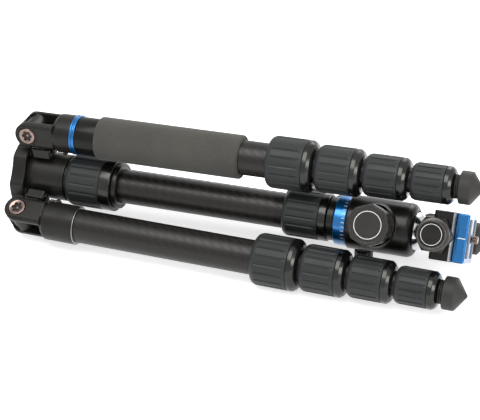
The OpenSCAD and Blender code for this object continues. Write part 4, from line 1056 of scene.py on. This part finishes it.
def clampKnobField(x, y, z):
    f = clampKnobForm
    around = hypot(x, y)
    grip = -np.inf
    for a in radians([30, 90, 150]):
        grip = maximum(grip, abs(x * cos(a) + y * sin(a)) - f.flat)
    shoulder = (around - f.shoulder - (f.hexTop - z) * f.slope) / hypot(1, f.slope)
    body = both(both(grip, shoulder, 0.4), slab(z, f.base, f.hexTop), 0.5)
    body = joined(body, rod(around, f.cap, z, f.base + 1, f.top, 0.7), 0.3)
    body = less(body, both(around - f.face, f.top - f.faceSink - z), 0.2)
    body = less(body, both(abs(around - f.cap + 0.1) - f.grooveDepth,
                           abs(z - f.hexTop - f.grooveAt) - f.grooveHalf), 0.1)
    return minimum(body, rod(around, f.shaft, z, f.shaftFrom, f.base + 1))


f, knobAxes = clampKnobForm, pointing(knobDirection, along=clampForm.shaftAt)
out, face = knobAxes.outward(), f.top - f.faceSink
faceDisc = turned(out, ringOutline(face - f.disc[0], face + f.disc[1], 0, f.face - 0.1), 72)
makePiece("clampKnobGrip", [(fieldSurface(knobAxes, clampKnobField, f), knobAlloy), (faceDisc, blackAnodised),
                            (ringLine(out, face, f, 72), indexPaint)],
          "clamp_knob", "clamp_knob")

# Camera plate: dovetail foot and bevelled slab, two rubber strips, a white index line on its side
plateForm = Form(
    half=19.2, floor=356.3, neck=14.4, foot=16.2, footAt=357.1, neckAt=359.9, slab=362.9, top=370.6,
    bevel=1.2, corner=1.2, hole=3.475, pocket=7.3, pocketEnd=359.9, strip=[7.7, 13.3], stripHalf=15.0,
    stripRise=0.73, stripDepth=0.7, stripRoom=0.1, line=0.35, lineFrom=0.5, lineRise=0.03, lineDepth=0.2,
    low=(356, -19.6, -19.6), high=(371, 19.6, 19.6), step=0.4)
stripGrid = Form(low=(369.6, -15.3, -13.7), high=(371.6, 15.3, 13.7), step=0.3)


def plateField(x, y, z):
    f = plateForm
    h, room, fromScrew = f.half, f.stripRoom, hypot(y, z)
    side = [(f.floor, f.foot), (f.footAt, f.foot), (f.neckAt, f.neck), (f.slab, f.neck),
            (f.slab, h), (f.top - f.bevel, h), (f.top, h - f.bevel)]
    profile = side + [(a, -b) for a, b in side[::-1]]
    plan = both(abs(y) - h, abs(z) - h, f.corner)
    bevel = abs(y) - h + maximum(x - f.top + f.bevel, 0)
    body = both(both(polygon(x, z, profile), plan, 0.1), bevel, 0.2)
    for s in (-1, 1):
        body = less(body, block(x, y, s * z, (f.top - f.stripDepth, -f.stripHalf - room, f.strip[0] - room),
                                (f.top + 2, f.stripHalf + room, f.strip[1] + room)))
    return less(less(body, fromScrew - f.hole, 0.3), both(fromScrew - f.pocket, x - f.pocketEnd), 0.3)


def stripField(x, y, z):
    f = plateForm
    low = (f.top - f.stripDepth + glue, -f.stripHalf, f.strip[0])
    high = (f.top + f.stripRise, f.stripHalf, f.strip[1])
    return minimum(block(x, y, z, low, high, 0.3), block(x, y, -z, low, high, 0.3))


f = plateForm
low, high = f.slab + f.lineFrom, f.top - f.bevel
deep, proud = f.half - f.lineDepth, f.half + f.lineRise
indexLine = bar(clampAxes, [(low, deep), (low, proud), (high, proud), (high, deep)], -f.line, f.line)
makePiece("cameraPlateSlab", [(fieldSurface(clampAxes, plateField, f), blueAnodised),
                              (fieldSurface(clampAxes, stripField, stripGrid), padRubber),
                              (indexLine, indexPaint)], "plate", "camera_plate")

# Camera screw: flat head, thin neck, and a thread whose radius falls by
# depth * (1 - cos(2 pi x / pitch - angle)) / 2
screwForm = Form(
    start=356.6, head=7.0, headEnd=359.6, neck=2.5, threadFrom=371.5, thread=3.175, end=376.2,
    point=(0.6, 0.7), pitch=1.27, depth=0.55)
f = screwForm


def threadShift(angle, x, r):
    wave = (1 - cos(2 * pi * x / screwForm.pitch - angle)) / 2
    return -screwForm.depth * wave * ((r > screwForm.neck + 0.1) & (x > screwForm.threadFrom - 0.1))


screwSurface = turned(clampAxes, [(f.start, 0), (f.start, f.head, 0.4), (f.headEnd, f.head, 0.3),
                                  (f.headEnd, f.neck), (f.threadFrom, f.neck),
                                  (f.threadFrom, f.thread, 0.1), (f.end - f.point[0], f.thread),
                                  (f.end, f.thread - f.point[1]), (f.end, 0)], 48, threadShift, fine=0.2)
makePiece("cameraScrewThread", [(screwSurface, platedSteel)], "camera_screw", "camera_screw")
print("stage: clamp made")
